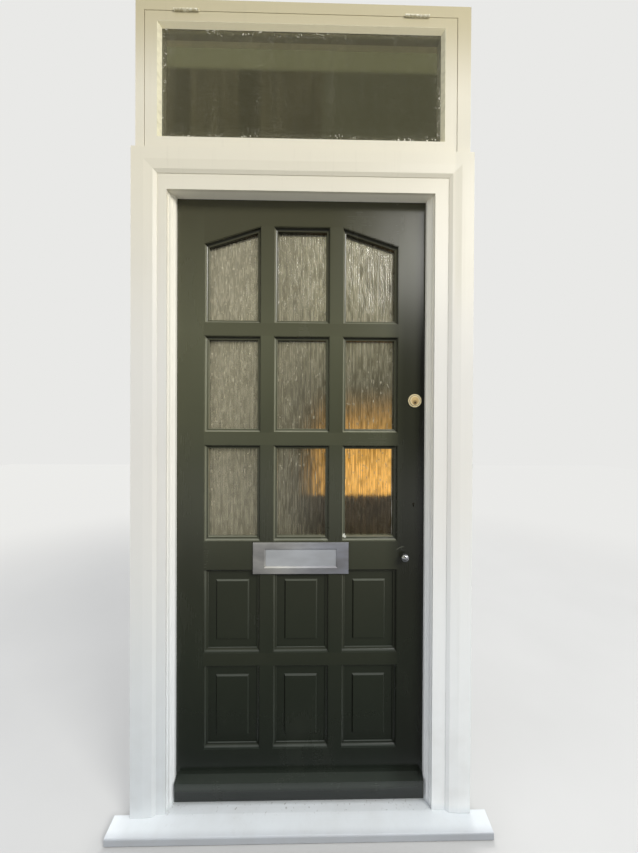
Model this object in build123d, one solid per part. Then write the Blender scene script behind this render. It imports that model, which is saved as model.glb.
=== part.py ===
"""Panelled front door, hung in its timber frame with a fanlight over it.

Millimetres. +X is to the right seen from outside, +Y goes indoors, +Z is up. The origin lies on
the underside of the sill, below the middle of the leaf, in the plane of the frame's outside face.
"""

import os
from math import hypot

from build123d import *

os.makedirs("parts", exist_ok=True)

# Leaf, its members and its openings
leaf_width = 813.0
leaf_height = 1905.0
leaf_thickness = 44.0
stile_width = 96.5
muntin_width = 40.0
top_rail_height = 89.0
shoulder_drop = 58.0
glazing_rail_height = 40.0
lock_rail_height = 90.0
lock_rail_top_height = 812.0
bottom_rail_height = 146.0
panel_rail_height = 40.0
columns = 3
pane_rows = 3
panel_rows = 2

# Gaps round the leaf and between fitted pieces
side_gap = 3.0
foot_gap = 8.0
stop_gap = 1.0
seat_gap = 0.5
slide_gap = 0.3
pin_gap = 0.05
overrun = 1.0

# Glass, fielded panels and their mouldings
glass_thickness = 4.0
glass_setback = 23.0
moulding_width = 12.0
moulding_step = 1.5
moulding_fillet = 2.0
moulding_round = 9.0
moulding_splay = 1.5
bead_flat = 2.5
panel_setback = 14.0
panel_border = 16.0
field_rise = 5.0
field_bevel = 4.0
field_margin = 37.0

# Frame
stop_depth = 44.0
stop_width = 14.8
stop_lead = 11.0
bead_quirk = 3.7
bead_round_width = 3.7
bead_round_depth = 12.0
bead_fillet = 1.5
bead_hollow_depth = 8.0
bead_sweep = 1.4
left_post_width = 93.5
right_post_width = 107.0
head_lap = 8.0
head_gap = 3.0
transom_height = 122.0
fan_opening_height = 415.0
frame_head_height = 34.0
fan_stop_width = 12.0
fixing_radius = 4.0
fixing_count = 3
fixing_foot_distance = 450.0
fixing_top_distance = 85.0
left_upper_post_width = 26.0
right_upper_post_width = 40.5

# Sill and weather bar
sill_thickness = 31.0
nosing_thickness = 25.0
nosing_projection = 54.0
nosing_round = 5.0
sill_horn = 50.0
drip_width = 6.0
drip_depth = 3.0
drip_setback = 10.0
water_bar_width = 6.0
water_bar_height = 18.0
water_bar_stand = 6.0

# Casing
casing_width = 74.0
casing_flat = 37.0
casing_step = 10.0
casing_proud = 9.0
casing_step_proud = 6.5
casing_edge_proud = 1.5
casing_overhang = 9.0
casing_drop = 1.0

# Weatherboard
board_projection = 24.5
board_height = 61.0
board_front_height = 55.6
board_lift = 6.0
board_end_gap = 3.5
board_drip_setback = 7.0

# Fanlight sash
sash_gap = 2.0
sash_thickness = 44.0
swing_gap = 1.0
sash_stile_width = 36.0
sash_top_rail_height = 30.0
sash_bottom_rail_height = 34.0
putty_width = 10.0
putty_depth = 12.0

# Door hinges and fanlight hinges
hinge_length = 100.0
hinge_plate = 2.5
hinge_width = 30.0
hinge_radius = 6.0
hinge_pin_radius = 2.5
pin_head = 2.0
hinge_top_distance = 150.0
hinge_foot_distance = 225.0
hinge_count = 3
fan_hinge_length = 75.0
fan_hinge_plate = 2.0
fan_hinge_width = 24.0
fan_hinge_radius = 3.4
fan_hinge_pin_radius = 1.4
fan_hinge_end_distance = 87.0
knuckle_count = 3
knuckle_standoff = 0.2

# Letter plate
letter_width = 305.0
letter_height = 100.0
letter_thickness = 5.0
letter_below_rail_top = 53.0
mouth_width = 225.0
mouth_height = 53.5
mouth_bevel = 4.0
mouth_land = 1.0
plate_arris = 1.0
flap_lap = 2.5
flap_thickness = 2.0
flap_pin_radius = 1.5
flap_barrel_radius = 3.0
lug_thickness = 2.5

# Rim cylinder and latch
lock_edge_distance = 43.5
cylinder_height = 1264.0
cylinder_radius = 15.5
rose_radius = 21.0
rose_thickness = 3.0
boss_radius = 16.5
boss_thickness = 5.0
plug_radius = 7.5
plug_drop = 6.0
tail_width = 6.0
tail_thickness = 2.0
tail_entry = 4.0
keyway_width = 2.0
keyway_height = 8.0
keyway_depth = 25.0
keyway_lift = 2.0
latch_case_width = 92.0
latch_case_height = 62.0
latch_case_depth = 27.0
latch_case_round = 4.0
latch_bolt_height = 30.0
latch_bolt_thickness = 14.0
latch_bolt_length = 60.0
latch_throw = 14.0
latch_knob_radius = 17.5
latch_knob_length = 30.0
staple_width = 40.0
staple_standoff = 1.0
case_wall = 3.0
knob_neck = 0.45
knob_crown = 0.7
knob_underside = 0.45
knob_rim = 0.8
tail_room = 1.5
barrel_setback = 6.0
bolt_setback = 6.0
knob_inset = 34.0
spindle_radius = 4.0
spindle_reach = 5.0
keep_room = 2.0
keep_depth_room = 8.0
bolt_land = 4.2

# Mortice lock
keyhole_height = 933.0
keyhole_edge_distance = 45.5
key_round_radius = 3.2
key_slot_width = 3.0
key_slot_length = 12.0
lock_case_width = 74.0
lock_case_height = 110.0
lock_case_thickness = 16.0
lock_case_below_key = 32.0
forend_height = 150.0
forend_width = 20.0
forend_thickness = 3.0
dead_bolt_height = 26.0
dead_bolt_thickness = 12.0
dead_bolt_length = 46.0
dead_bolt_rise = 34.0
dead_throw = 18.0
neck_inset = 1.0
keep_wall = 2.0
dead_keep_height_room = 2.0
dead_keep_side_room = 1.0
dead_keep_depth_room = 4.0

# Pull knob
pull_edge_distance = 76.5
pull_below_rail_top = 47.0
pull_radius = 12.5
pull_projection = 28.0

# Stay
stay_length = 230.0
stay_width = 12.0
stay_thickness = 4.0
stay_lift = 6.0
stay_pivot_x = -110.0
stay_peg_spacing = 70.0
stay_first_peg = 120.0
peg_radius = 3.0
peg_height = 10.0
peg_hole_gap = 1.5
stay_setback = 16.0
stay_clear = 5.0
eye_radius = 5.0
rivet_radius = 2.5
rivet_head_radius = 4.5
rivet_head_height = 2.0
bracket_width = 36.0
bracket_height = 30.0
bracket_thickness = 3.0
bracket_below_rivet = 4.0
stay_peg_count = 2

# Places worked out from the sizes above
leaf_front = stop_depth + stop_gap
leaf_back = leaf_front + leaf_thickness
frame_back = leaf_back
leaf_half = leaf_width / 2
leaf_foot = sill_thickness + foot_gap
leaf_top = leaf_foot + leaf_height
jamb = leaf_half + side_gap
post_left_x = -jamb - left_post_width
post_right_x = jamb + right_post_width
soffit = leaf_top - head_lap
rebate_top = leaf_top + head_gap
transom_top = soffit + transom_height
fan_head = transom_top + fan_opening_height
frame_top = fan_head + frame_head_height
fan_left = post_left_x + left_upper_post_width
fan_right = post_right_x - right_upper_post_width
opening_width = (leaf_width - 2 * stile_width - (columns - 1) * muntin_width) / columns
casing_left_x = post_left_x - casing_overhang
casing_right_x = post_right_x + casing_overhang
sash_left = fan_left + sash_gap
sash_right = fan_right - sash_gap
sash_foot = transom_top + sash_gap
sash_top = fan_head - sash_gap
glass_front = leaf_front + glass_setback
panel_front = leaf_front + panel_setback
panel_back = panel_front + panel_border
inner_setback = leaf_back - panel_back
rail_setout = leaf_top - top_rail_height
lock_rail_top = leaf_foot + lock_rail_top_height
pane_height = (rail_setout - lock_rail_top + glazing_rail_height) / pane_rows - glazing_rail_height
panel_setout = lock_rail_top - lock_rail_height
panel_height = (panel_setout - leaf_foot - bottom_rail_height + panel_rail_height) / panel_rows
panel_height -= panel_rail_height
lock_x = leaf_half - lock_edge_distance
key_x = leaf_half - keyhole_edge_distance
pull_x = leaf_half - pull_edge_distance
pull_z = lock_rail_top - pull_below_rail_top
cylinder_z = leaf_foot + cylinder_height
key_z = leaf_foot + keyhole_height
leaf_middle = leaf_front + leaf_thickness / 2


def block(x0, x1, y0, y1, z0, z1):
    """A box between two corners."""
    centre = Pos((x0 + x1) / 2, (y0 + y1) / 2, (z0 + z1) / 2)
    return centre * Box(abs(x1 - x0), abs(y1 - y0), abs(z1 - z0))


def rod_x(x0, x1, y, z, radius):
    """A round bar along X."""
    return Pos((x0 + x1) / 2, y, z) * Rot(0, 90, 0) * Cylinder(radius, abs(x1 - x0))


def rod_y(x, y0, y1, z, radius):
    """A round bar along Y."""
    return Pos(x, (y0 + y1) / 2, z) * Rot(90, 0, 0) * Cylinder(radius, abs(y1 - y0))


def rod_z(x, y, z0, z1, radius):
    """A round bar along Z."""
    return Pos(x, y, (z0 + z1) / 2) * Cylinder(radius, abs(z1 - z0))


def bar_along_x(section, x0, x1):
    """A bar whose section is a list of (y, z) corners."""
    plane = Plane(origin=(x0, 0, 0), x_dir=(0, 1, 0), z_dir=(1, 0, 0))
    return extrude(plane * make_face(Polyline(*section, close=True)), amount=x1 - x0)


def rows_of_openings(first_top, height, rail, count):
    """(foot, top) of each opening of a stack, from the top down."""
    tops = [first_top - row * (height + rail) for row in range(count)]
    return [(top - height, top) for top in tops]


pane_spans = rows_of_openings(rail_setout, pane_height, glazing_rail_height, pane_rows)
panel_spans = rows_of_openings(panel_setout, panel_height, panel_rail_height, panel_rows)
opening_pitch = opening_width + muntin_width
column_spans = [
    (-leaf_half + stile_width + column * opening_pitch,
     -leaf_half + stile_width + column * opening_pitch + opening_width)
    for column in range(columns)
]
letter_z = lock_rail_top - letter_below_rail_top
dead_bolt_z = key_z + dead_bolt_rise


def opening_corners(row, column, spans, shaped):
    """Corners (x, z) of an opening, anticlockwise from its lower left seen from outside."""
    x0, x1 = column_spans[column]
    foot, top = spans[row]
    left_top = top - shoulder_drop if shaped and column == 0 else top
    right_top = top - shoulder_drop if shaped and column == columns - 1 else top
    return [(x0, foot), (x1, foot), (x1, right_top), (x0, left_top)]


def inset(corners, distance):
    """The corners of a convex outline moved inwards by one distance from every side."""
    moved = []
    count = len(corners)
    for index in range(count):
        before, here, after = corners[index - 1], corners[index], corners[(index + 1) % count]
        ax, az = here[0] - before[0], here[1] - before[1]
        bx, bz = after[0] - here[0], after[1] - here[1]
        a_length, b_length = hypot(ax, az), hypot(bx, bz)
        ax, az, bx, bz = ax / a_length, az / a_length, bx / b_length, bz / b_length
        reach = distance / (ax * bz - az * bx)
        moved.append((here[0] + reach * (bx - ax), here[1] + reach * (bz - az)))
    return moved


def slab(corners, y0, y1):
    """A flat plate with the outline corners (x, z) between two depths."""
    plane = Plane(origin=(0, y0, 0), x_dir=(1, 0, 0), z_dir=(0, -1, 0))
    return extrude(plane * make_face(Polyline(*corners, close=True)), amount=y0 - y1)


def outside_section(depth):
    """Planted moulding: a small step, a fillet, a quarter round and a splay to the glass or panel."""
    round_end = moulding_fillet + moulding_round
    round_foot = moulding_step + moulding_round
    edge = Polyline((moulding_fillet, moulding_step), (0, moulding_step), (0, depth),
                    (moulding_width, depth), (moulding_width, round_foot + moulding_splay),
                    (round_end, round_foot))
    quarter = RadiusArc((moulding_fillet, moulding_step), (round_end, round_foot), moulding_round)
    return make_face(edge + quarter)


def bead_section(depth):
    """Plain bead with one splayed edge."""
    return make_face(Polyline((0, moulding_step), (bead_flat, moulding_step), (moulding_width, depth / 2),
                              (moulding_width, depth), (0, depth), close=True))


def moulding_ring(corners, section, depth, face, towards):
    """One mitred length of moulding along each side of an opening."""
    lengths = []
    inner = inset(corners, moulding_width)
    count = len(corners)
    depth_y = sorted((face, face + towards * depth))
    for index in range(count):
        after = (index + 1) % count
        start, end = corners[index], corners[after]
        run = hypot(end[0] - start[0], end[1] - start[1])
        along = ((end[0] - start[0]) / run, (end[1] - start[1]) / run)
        inward = Vector(-along[1], 0, along[0])
        depth_way = Vector(0, towards, 0)
        plane = Plane(origin=((start[0] + end[0]) / 2, face, (start[1] + end[1]) / 2),
                      x_dir=inward, z_dir=inward.cross(depth_way))
        length = extrude(plane * section, amount=run / 2 + moulding_width, both=True)
        lengths.append(length & slab([start, end, inner[after], inner[index]], *depth_y))
    return lengths


def panes(row):
    """The panes of one row of openings."""
    return [
        slab(inset(opening_corners(row, column, pane_spans, row == 0), seat_gap),
             glass_front, glass_front + glass_thickness)
        for column in range(columns)
    ]


def pane_mouldings():
    """Outside mouldings that hold the panes."""
    section = outside_section(glass_setback)
    return [
        piece
        for row in range(pane_rows)
        for column in range(columns)
        for piece in moulding_ring(opening_corners(row, column, pane_spans, row == 0),
                                   section, glass_setback, leaf_front, 1)
    ]


def glazing_beads():
    """Inside beads that press the panes against the outside mouldings."""
    depth = leaf_thickness - glass_setback - glass_thickness
    section = bead_section(depth)
    return [
        piece
        for row in range(pane_rows)
        for column in range(columns)
        for piece in moulding_ring(opening_corners(row, column, pane_spans, row == 0),
                                   section, depth, leaf_back, -1)
    ]


def panel_mouldings(section, face, towards, depth):
    """Mouldings on one side of the fielded panels."""
    return [
        piece
        for row in range(panel_rows)
        for column in range(columns)
        for piece in moulding_ring(opening_corners(row, column, panel_spans, False),
                                   section, depth, face, towards)
    ]


def field(outline, face, towards):
    """The raised middle of a panel: a low plateau with bevelled edges."""
    base = inset(outline, field_margin)
    crown = inset(base, field_bevel)
    plane_low = Plane(origin=(0, face, 0), x_dir=(1, 0, 0), z_dir=(0, -1, 0))
    plane_high = Plane(origin=(0, face + towards * field_rise, 0), x_dir=(1, 0, 0), z_dir=(0, -1, 0))
    low = plane_low * make_face(Polyline(*base, close=True))
    high = plane_high * make_face(Polyline(*crown, close=True))
    return loft([low, high])


def panel(row, column):
    """One raised and fielded panel, the same on both sides."""
    outline = opening_corners(row, column, panel_spans, False)
    board = slab(inset(outline, seat_gap), panel_front, panel_back)
    return board + field(outline, panel_front, -1) + field(outline, panel_back, 1)


def stile(side):
    """A stile on one side, +1 right or -1 left, with the sinkings its fittings need."""
    outer = side * leaf_half
    inner = side * (leaf_half - stile_width)
    body = block(inner, outer, leaf_front, leaf_back, leaf_foot, leaf_top)
    if side < 0:
        for foot, top in hinge_spans():
            body -= block(outer, outer + hinge_plate, leaf_back - hinge_width, leaf_back, foot, top)
        return body
    bore = cylinder_radius + seat_gap
    body -= rod_y(lock_x, leaf_front, leaf_back, cylinder_z, bore)
    case = lock_case_box(0)
    body -= case
    body -= forend_box(0)
    return body - keyhole(leaf_front, leaf_back)


def lock_case_box(shrink):
    """The mortice that the lock case fills, or a box smaller than it all round."""
    foot = key_z - lock_case_below_key
    half = lock_case_thickness / 2 - shrink
    back = leaf_half - forend_thickness
    return block(back - lock_case_width + shrink, back - shrink, leaf_middle - half,
                 leaf_middle + half, foot + shrink, foot + lock_case_height - shrink)


def forend_box(shrink):
    """The face plate in the edge of the leaf."""
    middle = key_z - lock_case_below_key + lock_case_height / 2
    half = forend_height / 2 - shrink
    return block(leaf_half - forend_thickness, leaf_half, leaf_middle - forend_width / 2 + shrink,
                 leaf_middle + forend_width / 2 - shrink, middle - half, middle + half)


def keyhole(y0, y1):
    """A round hole with a slot below it."""
    slot = block(key_x - key_slot_width / 2, key_x + key_slot_width / 2, y0, y1,
                 key_z - key_slot_length, key_z)
    return rod_y(key_x, y0, y1, key_z, key_round_radius) + slot


def top_rail():
    """The top rail, whose lower edge falls towards both stiles."""
    inner = leaf_half - stile_width
    first, last = column_spans[0][1], column_spans[-1][0]
    low = rail_setout - shoulder_drop
    outline = [(-inner, low), (first, rail_setout), (last, rail_setout), (inner, low),
               (inner, leaf_top), (-inner, leaf_top)]
    return slab(outline, leaf_front, leaf_back)


def rail(foot, top):
    """A plain rail between the stiles."""
    inner = leaf_half - stile_width
    return block(-inner, inner, leaf_front, leaf_back, foot, top)


def lock_rail():
    """The rail with the mouth of the letter plate cut through it."""
    half_width = mouth_width / 2 + flap_lap + lug_thickness + seat_gap
    half_height = mouth_height / 2 + flap_lap + 2 * seat_gap
    mouth = block(-half_width, half_width, leaf_front, leaf_back,
                  letter_z - half_height, letter_z + half_height)
    return rail(panel_setout, lock_rail_top) - mouth


def muntins(spans):
    """The uprights between the openings of every row, one solid each."""
    return [
        block(column_spans[gap][1], column_spans[gap + 1][0], leaf_front, leaf_back, foot, top)
        for foot, top in spans
        for gap in range(columns - 1)
    ]


def weatherboard():
    """The board that throws rain clear of the foot of the leaf, with a drip under its nose."""
    foot = leaf_foot + board_lift
    front = leaf_front - board_projection
    half = jamb - stop_width - board_end_gap
    section = [(leaf_front, foot), (front, foot), (front, foot + board_front_height),
               (leaf_front, foot + board_height)]
    board = bar_along_x(section, -half, half)
    return board - rod_x(-half, half, front + board_drip_setback, foot, drip_depth)


def sill():
    """The sill, its nosing rounded, its horns running past the casing, and its drip."""
    x0, x1 = casing_left_x - sill_horn, casing_right_x + sill_horn
    nose = [(0, 0), (-nosing_projection, 0), (-nosing_projection, nosing_thickness),
            (0, sill_thickness)]
    apron = bar_along_x(nose, x0, x1)
    edges = apron.edges().filter_by(Axis.X).sort_by(Axis.Y)[:2]
    apron = fillet(edges, nosing_round)
    body = block(post_left_x, post_right_x, 0, frame_back, 0, sill_thickness)
    drip = block(x0, x1, drip_setback - nosing_projection,
                 drip_setback - nosing_projection + drip_width, 0, drip_depth)
    groove = block(-jamb, jamb, *water_bar_depths(), water_bar_foot(), sill_thickness)
    return apron + body - drip - groove


def water_bar_depths():
    """Front and back of the metal bar under the leaf."""
    return leaf_middle - water_bar_width / 2, leaf_middle + water_bar_width / 2


def water_bar_foot():
    """How deep the metal bar is let into the sill."""
    return sill_thickness + water_bar_stand - water_bar_height


def water_bar():
    """The metal bar let into the sill, which stops driven rain under the leaf."""
    return block(-jamb, jamb, *water_bar_depths(), water_bar_foot(),
                 sill_thickness + water_bar_stand)


def fixing_heights():
    """Heights of the screws that hold each post to the wall, evenly spread."""
    first = sill_thickness + fixing_foot_distance
    spacing = (soffit - fixing_top_distance - first) / (fixing_count - 1)
    return [first + index * spacing for index in range(fixing_count)]


def post(side):
    """A post beside the leaf, bored across for its wall screws."""
    inner = side * jamb
    outer = post_left_x if side < 0 else post_right_x
    body = block(inner, outer, 0, frame_back, sill_thickness, soffit)
    for height in fixing_heights():
        body -= rod_x(inner, outer, leaf_middle, height, fixing_radius)
    if side < 0:
        for foot, top in hinge_spans():
            body -= block(inner, inner - hinge_plate, frame_back - hinge_width, frame_back, foot, top)
        return body
    return body - keep_block()


def transom():
    """The member over the leaf: rebated for the leaf below and for the sash above."""
    body = block(post_left_x, post_right_x, 0, frame_back, soffit, transom_top)
    body -= block(-jamb, jamb, stop_depth, frame_back, soffit, rebate_top)
    return body + block(fan_left + fan_stop_width, fan_right - fan_stop_width, stop_depth + stop_gap,
                        frame_back, transom_top, transom_top + fan_stop_width)


def upper_post(side):
    """A post beside the fanlight, with the stop that the sash shuts against."""
    outer = post_left_x if side < 0 else post_right_x
    face = fan_left if side < 0 else fan_right
    body = block(outer, face, 0, frame_back, transom_top, fan_head)
    return body + block(face, face - side * fan_stop_width, stop_depth + stop_gap, frame_back,
                        transom_top, fan_head)


def frame_head():
    """The top member, with the stop that the sash shuts against and sinkings for its hinges."""
    body = block(post_left_x, post_right_x, 0, frame_back, fan_head, frame_top)
    body += block(fan_left + fan_stop_width, fan_right - fan_stop_width, stop_depth + stop_gap,
                  frame_back, fan_head - fan_stop_width, fan_head)
    for x0, x1 in fan_hinge_spans():
        body -= block(x0, x1, 0, fan_hinge_width, fan_head, fan_head + fan_hinge_plate)
    return body


def stop_bead(side):
    """The moulded stop that the leaf shuts against: a quirk, a quarter round and a hollow."""
    step = bead_quirk + bead_round_width
    shelf = stop_lead + bead_round_depth
    lip = shelf + bead_hollow_depth
    outline = Polyline((step, shelf), (step + bead_fillet, shelf))
    outline += RadiusArc((step + bead_fillet, shelf), (stop_width, lip), bead_sweep * 2 * bead_round_depth)
    outline += Polyline((stop_width, lip), (stop_width, stop_depth), (0, stop_depth), (0, stop_lead),
                        (bead_quirk, stop_lead))
    outline += RadiusArc((bead_quirk, stop_lead), (step, shelf), bead_sweep * bead_round_depth)
    plane = Plane(origin=(side * jamb, 0, sill_thickness), x_dir=(-side, 0, 0), z_dir=(0, 0, -side))
    return extrude(plane * make_face(outline), amount=-side * (soffit - sill_thickness))


def casing_section():
    """Casing from its inner edge outwards: a small step, a shallow bevel and a flat band."""
    return [(0, 0), (0, casing_edge_proud), (casing_step, casing_step_proud),
            (casing_width - casing_flat, casing_proud), (casing_width, casing_proud),
            (casing_width, 0)]


def casing_run(side):
    """One side of the casing before its mitre: out to the side, forward to the street."""
    outer = casing_left_x if side < 0 else casing_right_x
    inner = outer - side * casing_width
    plane = Plane(origin=(inner, 0, 0), x_dir=(side, 0, 0), z_dir=(0, 0, side))
    section = make_face(Polyline(*[(u, -p) for u, p in casing_section()], close=True))
    run = extrude(plane * section, amount=side * casing_top())
    return run & block(inner, outer, -casing_proud, 0, nosing_thickness, casing_top())


def casing_top():
    """The top edge of the casing, level with the top of the transom."""
    return transom_top - casing_drop


def casing_mitre(side):
    """The half plane, as a slab, that a side casing keeps below its mitre."""
    outer = casing_left_x if side < 0 else casing_right_x
    inner = outer - side * casing_width
    top = casing_top()
    corners = [(inner, top - casing_width), (outer, top), (outer, 0), (inner, 0)]
    return slab(corners if side > 0 else corners[::-1], -casing_proud, 0)


def casing_side(side):
    """A side of the casing, mitred at its top and scribed to the sill at its foot."""
    return (casing_run(side) & casing_mitre(side)) - sill()


def casing_head():
    """The head of the casing, mitred at both ends."""
    top = casing_top()
    plane = Plane(origin=(casing_left_x, 0, top - casing_width), x_dir=(0, 0, 1), z_dir=(1, 0, 0))
    section = make_face(Polyline(*[(u, p) for u, p in casing_section()], close=True))
    run = extrude(plane * section, amount=casing_right_x - casing_left_x)
    corners = [(casing_left_x + casing_width, top - casing_width),
               (casing_right_x - casing_width, top - casing_width),
               (casing_right_x, top), (casing_left_x, top)]
    return run & slab(corners, -casing_proud, 0)


def sash_rebate():
    """The glass and putty space cut into the front of the sash members."""
    x0, x1, z0, z1 = sash_light()
    return block(x0, x1, 0, putty_depth + glass_thickness, z0, z1)


def sash_light():
    """Edges of the glazing rebate of the sash: left, right, foot, top."""
    return (sash_left + sash_stile_width, sash_right - sash_stile_width,
            sash_foot + sash_bottom_rail_height, sash_top - sash_top_rail_height)


def sash_sight():
    """Edges of the glass that is seen between the sash members: left, right, foot, top."""
    x0, x1, z0, z1 = sash_light()
    return x0 + putty_width, x1 - putty_width, z0 + putty_width, z1 - putty_width


def sash_foot_bevel():
    """The wedge planed off the underside of the sash, so that its inner edge clears the transom."""
    y, z = fan_axis()
    swing = z - transom_top - swing_gap
    inner_foot = z - ((swing ** 2) - (sash_thickness - y) ** 2) ** 0.5
    wedge = [(0, sash_foot), (sash_thickness, sash_foot), (sash_thickness, inner_foot)]
    return bar_along_x(wedge, sash_left, sash_right)


def sash_stile(side):
    """A stile of the fanlight sash, rebated for its glass."""
    x0, x1, z0, z1 = sash_sight()
    outer = sash_left if side < 0 else sash_right
    inner = x0 if side < 0 else x1
    body = block(outer, inner, 0, sash_thickness, sash_foot, sash_top)
    return body - sash_rebate() - sash_foot_bevel()


def sash_rail(upper):
    """A rail of the fanlight sash, rebated for its glass."""
    x0, x1, z0, z1 = sash_sight()
    foot, top = (z1, sash_top) if upper else (sash_foot, z0)
    body = block(x0, x1, 0, sash_thickness, foot, top) - sash_rebate()
    if not upper:
        return body - sash_foot_bevel()
    for left, right in fan_hinge_spans():
        body -= block(left, right, 0, fan_hinge_width, sash_top - fan_hinge_plate, sash_top)
    return body


def sash_glass():
    """The clear pane of the fanlight."""
    x0, x1, z0, z1 = sash_light()
    return block(x0 + seat_gap, x1 - seat_gap, putty_depth, putty_depth + glass_thickness,
                 z0 + seat_gap, z1 - seat_gap)


def sash_putty():
    """The bevelled fillet of putty round the glass, in one piece."""
    x0, x1, z0, z1 = sash_light()
    corners = [(x0, z0), (x1, z0), (x1, z1), (x0, z1)]
    low = Plane(origin=(0, putty_depth, 0), x_dir=(1, 0, 0), z_dir=(0, -1, 0))
    high = Plane(origin=(0, 0, 0), x_dir=(1, 0, 0), z_dir=(0, -1, 0))
    hole = loft([
        low * make_face(Polyline(*inset(corners, putty_width), close=True)),
        high * make_face(Polyline(*inset(corners, seat_gap), close=True)),
    ])
    return slab(corners, 0, putty_depth) - hole


def hinge_spans():
    """(foot, top) of each door hinge, evenly spread between the outermost two."""
    first = leaf_foot + hinge_foot_distance
    last = leaf_top - hinge_top_distance - hinge_length
    step = (last - first) / (hinge_count - 1)
    return [(first + index * step, first + index * step + hinge_length)
            for index in range(hinge_count)]


def hinge_axis():
    """Where the door turns: in the side gap, just clear of both inside arrises."""
    reach = hinge_radius + knuckle_standoff
    return -leaf_half - side_gap / 2, leaf_back + (reach ** 2 - (side_gap / 2) ** 2) ** 0.5


def knuckle_parts(foot, top, odd):
    """(foot, top) of the knuckles of one leaf of a hinge."""
    pitch = (top - foot) / knuckle_count
    return [(foot + index * pitch + slide_gap / 2, foot + (index + 1) * pitch - slide_gap / 2)
            for index in range(knuckle_count) if index % 2 == odd]


def door_hinge_leaf(foot, top, on_frame):
    """One leaf of a door hinge with its knuckles."""
    x, y = hinge_axis()
    face = -jamb if on_frame else -leaf_half
    back = face - hinge_plate if on_frame else face + hinge_plate
    body = block(face, back, leaf_back - hinge_width, leaf_back, foot, top)
    for low, high in knuckle_parts(foot, top, 0 if on_frame else 1):
        body += block(face, back, leaf_back, y, low, high)
        body += rod_z(x, y, low, high, hinge_radius)
    return body - rod_z(x, y, foot - overrun, top + overrun, hinge_pin_radius + pin_gap)


def door_hinge_pin(foot, top):
    """The loose pin of a door hinge, with a low button at its top."""
    x, y = hinge_axis()
    return rod_z(x, y, foot, top, hinge_pin_radius) + rod_z(x, y, top, top + pin_head, hinge_radius)


def fan_hinge_spans():
    """(left, right) of each fanlight hinge."""
    left = sash_left + fan_hinge_end_distance
    right = sash_right - fan_hinge_end_distance
    return [(left, left + fan_hinge_length), (right - fan_hinge_length, right)]


def fan_axis():
    """Where the fanlight turns: in its top gap, just clear of both outside arrises."""
    reach = fan_hinge_radius + knuckle_standoff
    return -(reach ** 2 - (sash_gap / 2) ** 2) ** 0.5, fan_head - sash_gap / 2


def fan_hinge_leaf(left, right, on_frame):
    """One leaf of a fanlight hinge with its knuckles."""
    y, z = fan_axis()
    face = fan_head if on_frame else sash_top
    back = face + fan_hinge_plate if on_frame else face - fan_hinge_plate
    body = block(left, right, 0, fan_hinge_width, face, back)
    for low, high in knuckle_parts(left, right, 0 if on_frame else 1):
        body += block(low, high, y, 0, face, back)
        body += rod_x(low, high, y, z, fan_hinge_radius)
    return body - rod_x(left - overrun, right + overrun, y, z, fan_hinge_pin_radius + pin_gap)


def fan_hinge_pin(left, right):
    """The plain pin of a fanlight hinge."""
    y, z = fan_axis()
    return rod_x(left, right, y, z, fan_hinge_pin_radius)


def letter_plate():
    """The outside plate: a bevelled mouth, and two lugs behind it for the flap's pin."""
    half_width, half_height = letter_width / 2, letter_height / 2
    front = leaf_front - letter_thickness
    body = block(-half_width, half_width, front, leaf_front, letter_z - half_height,
                 letter_z + half_height)
    body = chamfer(body.faces().sort_by(Axis.Y)[0].edges(), plate_arris)
    mouth = [(-mouth_width / 2, letter_z - mouth_height / 2),
             (mouth_width / 2, letter_z - mouth_height / 2),
             (mouth_width / 2, letter_z + mouth_height / 2),
             (-mouth_width / 2, letter_z + mouth_height / 2)]
    near = Plane(origin=(0, front, 0), x_dir=(1, 0, 0), z_dir=(0, -1, 0))
    far = Plane(origin=(0, leaf_front - mouth_land, 0), x_dir=(1, 0, 0), z_dir=(0, -1, 0))
    splay = loft([near * make_face(Polyline(*inset(mouth, -mouth_bevel), close=True)),
                  far * make_face(Polyline(*mouth, close=True))])
    body = body - splay - slab(mouth, front, leaf_front)
    y, z = flap_axis()
    for side in (-1, 1):
        inner = side * (mouth_width / 2 + flap_lap)
        outer = inner + side * lug_thickness
        body += block(inner, outer, leaf_front, y, z - flap_barrel_radius, z + flap_barrel_radius)
        body += rod_x(inner, outer, y, z, flap_barrel_radius)
        body -= rod_x(inner - side * overrun, outer + side * overrun, y, z, flap_pin_radius + pin_gap)
    return body


def flap_axis():
    """Where the flap turns: just behind the plate, above the mouth."""
    return (leaf_front + flap_barrel_radius + slide_gap,
            letter_z + mouth_height / 2 + flap_lap - flap_barrel_radius)


def letter_flap():
    """The flap that shuts the mouth from behind, rolled round its pin at the top."""
    y, z = flap_axis()
    half = mouth_width / 2 + flap_lap - slide_gap
    foot = letter_z - mouth_height / 2 - flap_lap
    near = leaf_front + slide_gap
    body = block(-half, half, near, near + flap_thickness, foot, z)
    body += rod_x(-half, half, y, z, flap_barrel_radius)
    return body - rod_x(-half, half, y, z, flap_pin_radius + pin_gap)


def letter_flap_pin():
    """The pin through the flap's barrel, carried in the two lugs."""
    y, z = flap_axis()
    half = mouth_width / 2 + flap_lap + lug_thickness
    return rod_x(-half, half, y, z, flap_pin_radius)


def rim_cylinder():
    """The cylinder's barrel behind its rose and raised face, bored low down for the plug."""
    barrel = rod_y(lock_x, leaf_front, barrel_end(), cylinder_z, cylinder_radius)
    rose = rod_y(lock_x, leaf_front - rose_thickness, leaf_front, cylinder_z, rose_radius)
    boss = rod_y(lock_x, leaf_front - boss_thickness, leaf_front, cylinder_z, boss_radius)
    bore = rod_y(lock_x, leaf_front - boss_thickness, leaf_back, plug_z(), plug_radius + pin_gap)
    return barrel + rose + boss - bore


def plug_z():
    """Height of the plug, low in the cylinder."""
    return cylinder_z - plug_drop


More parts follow.
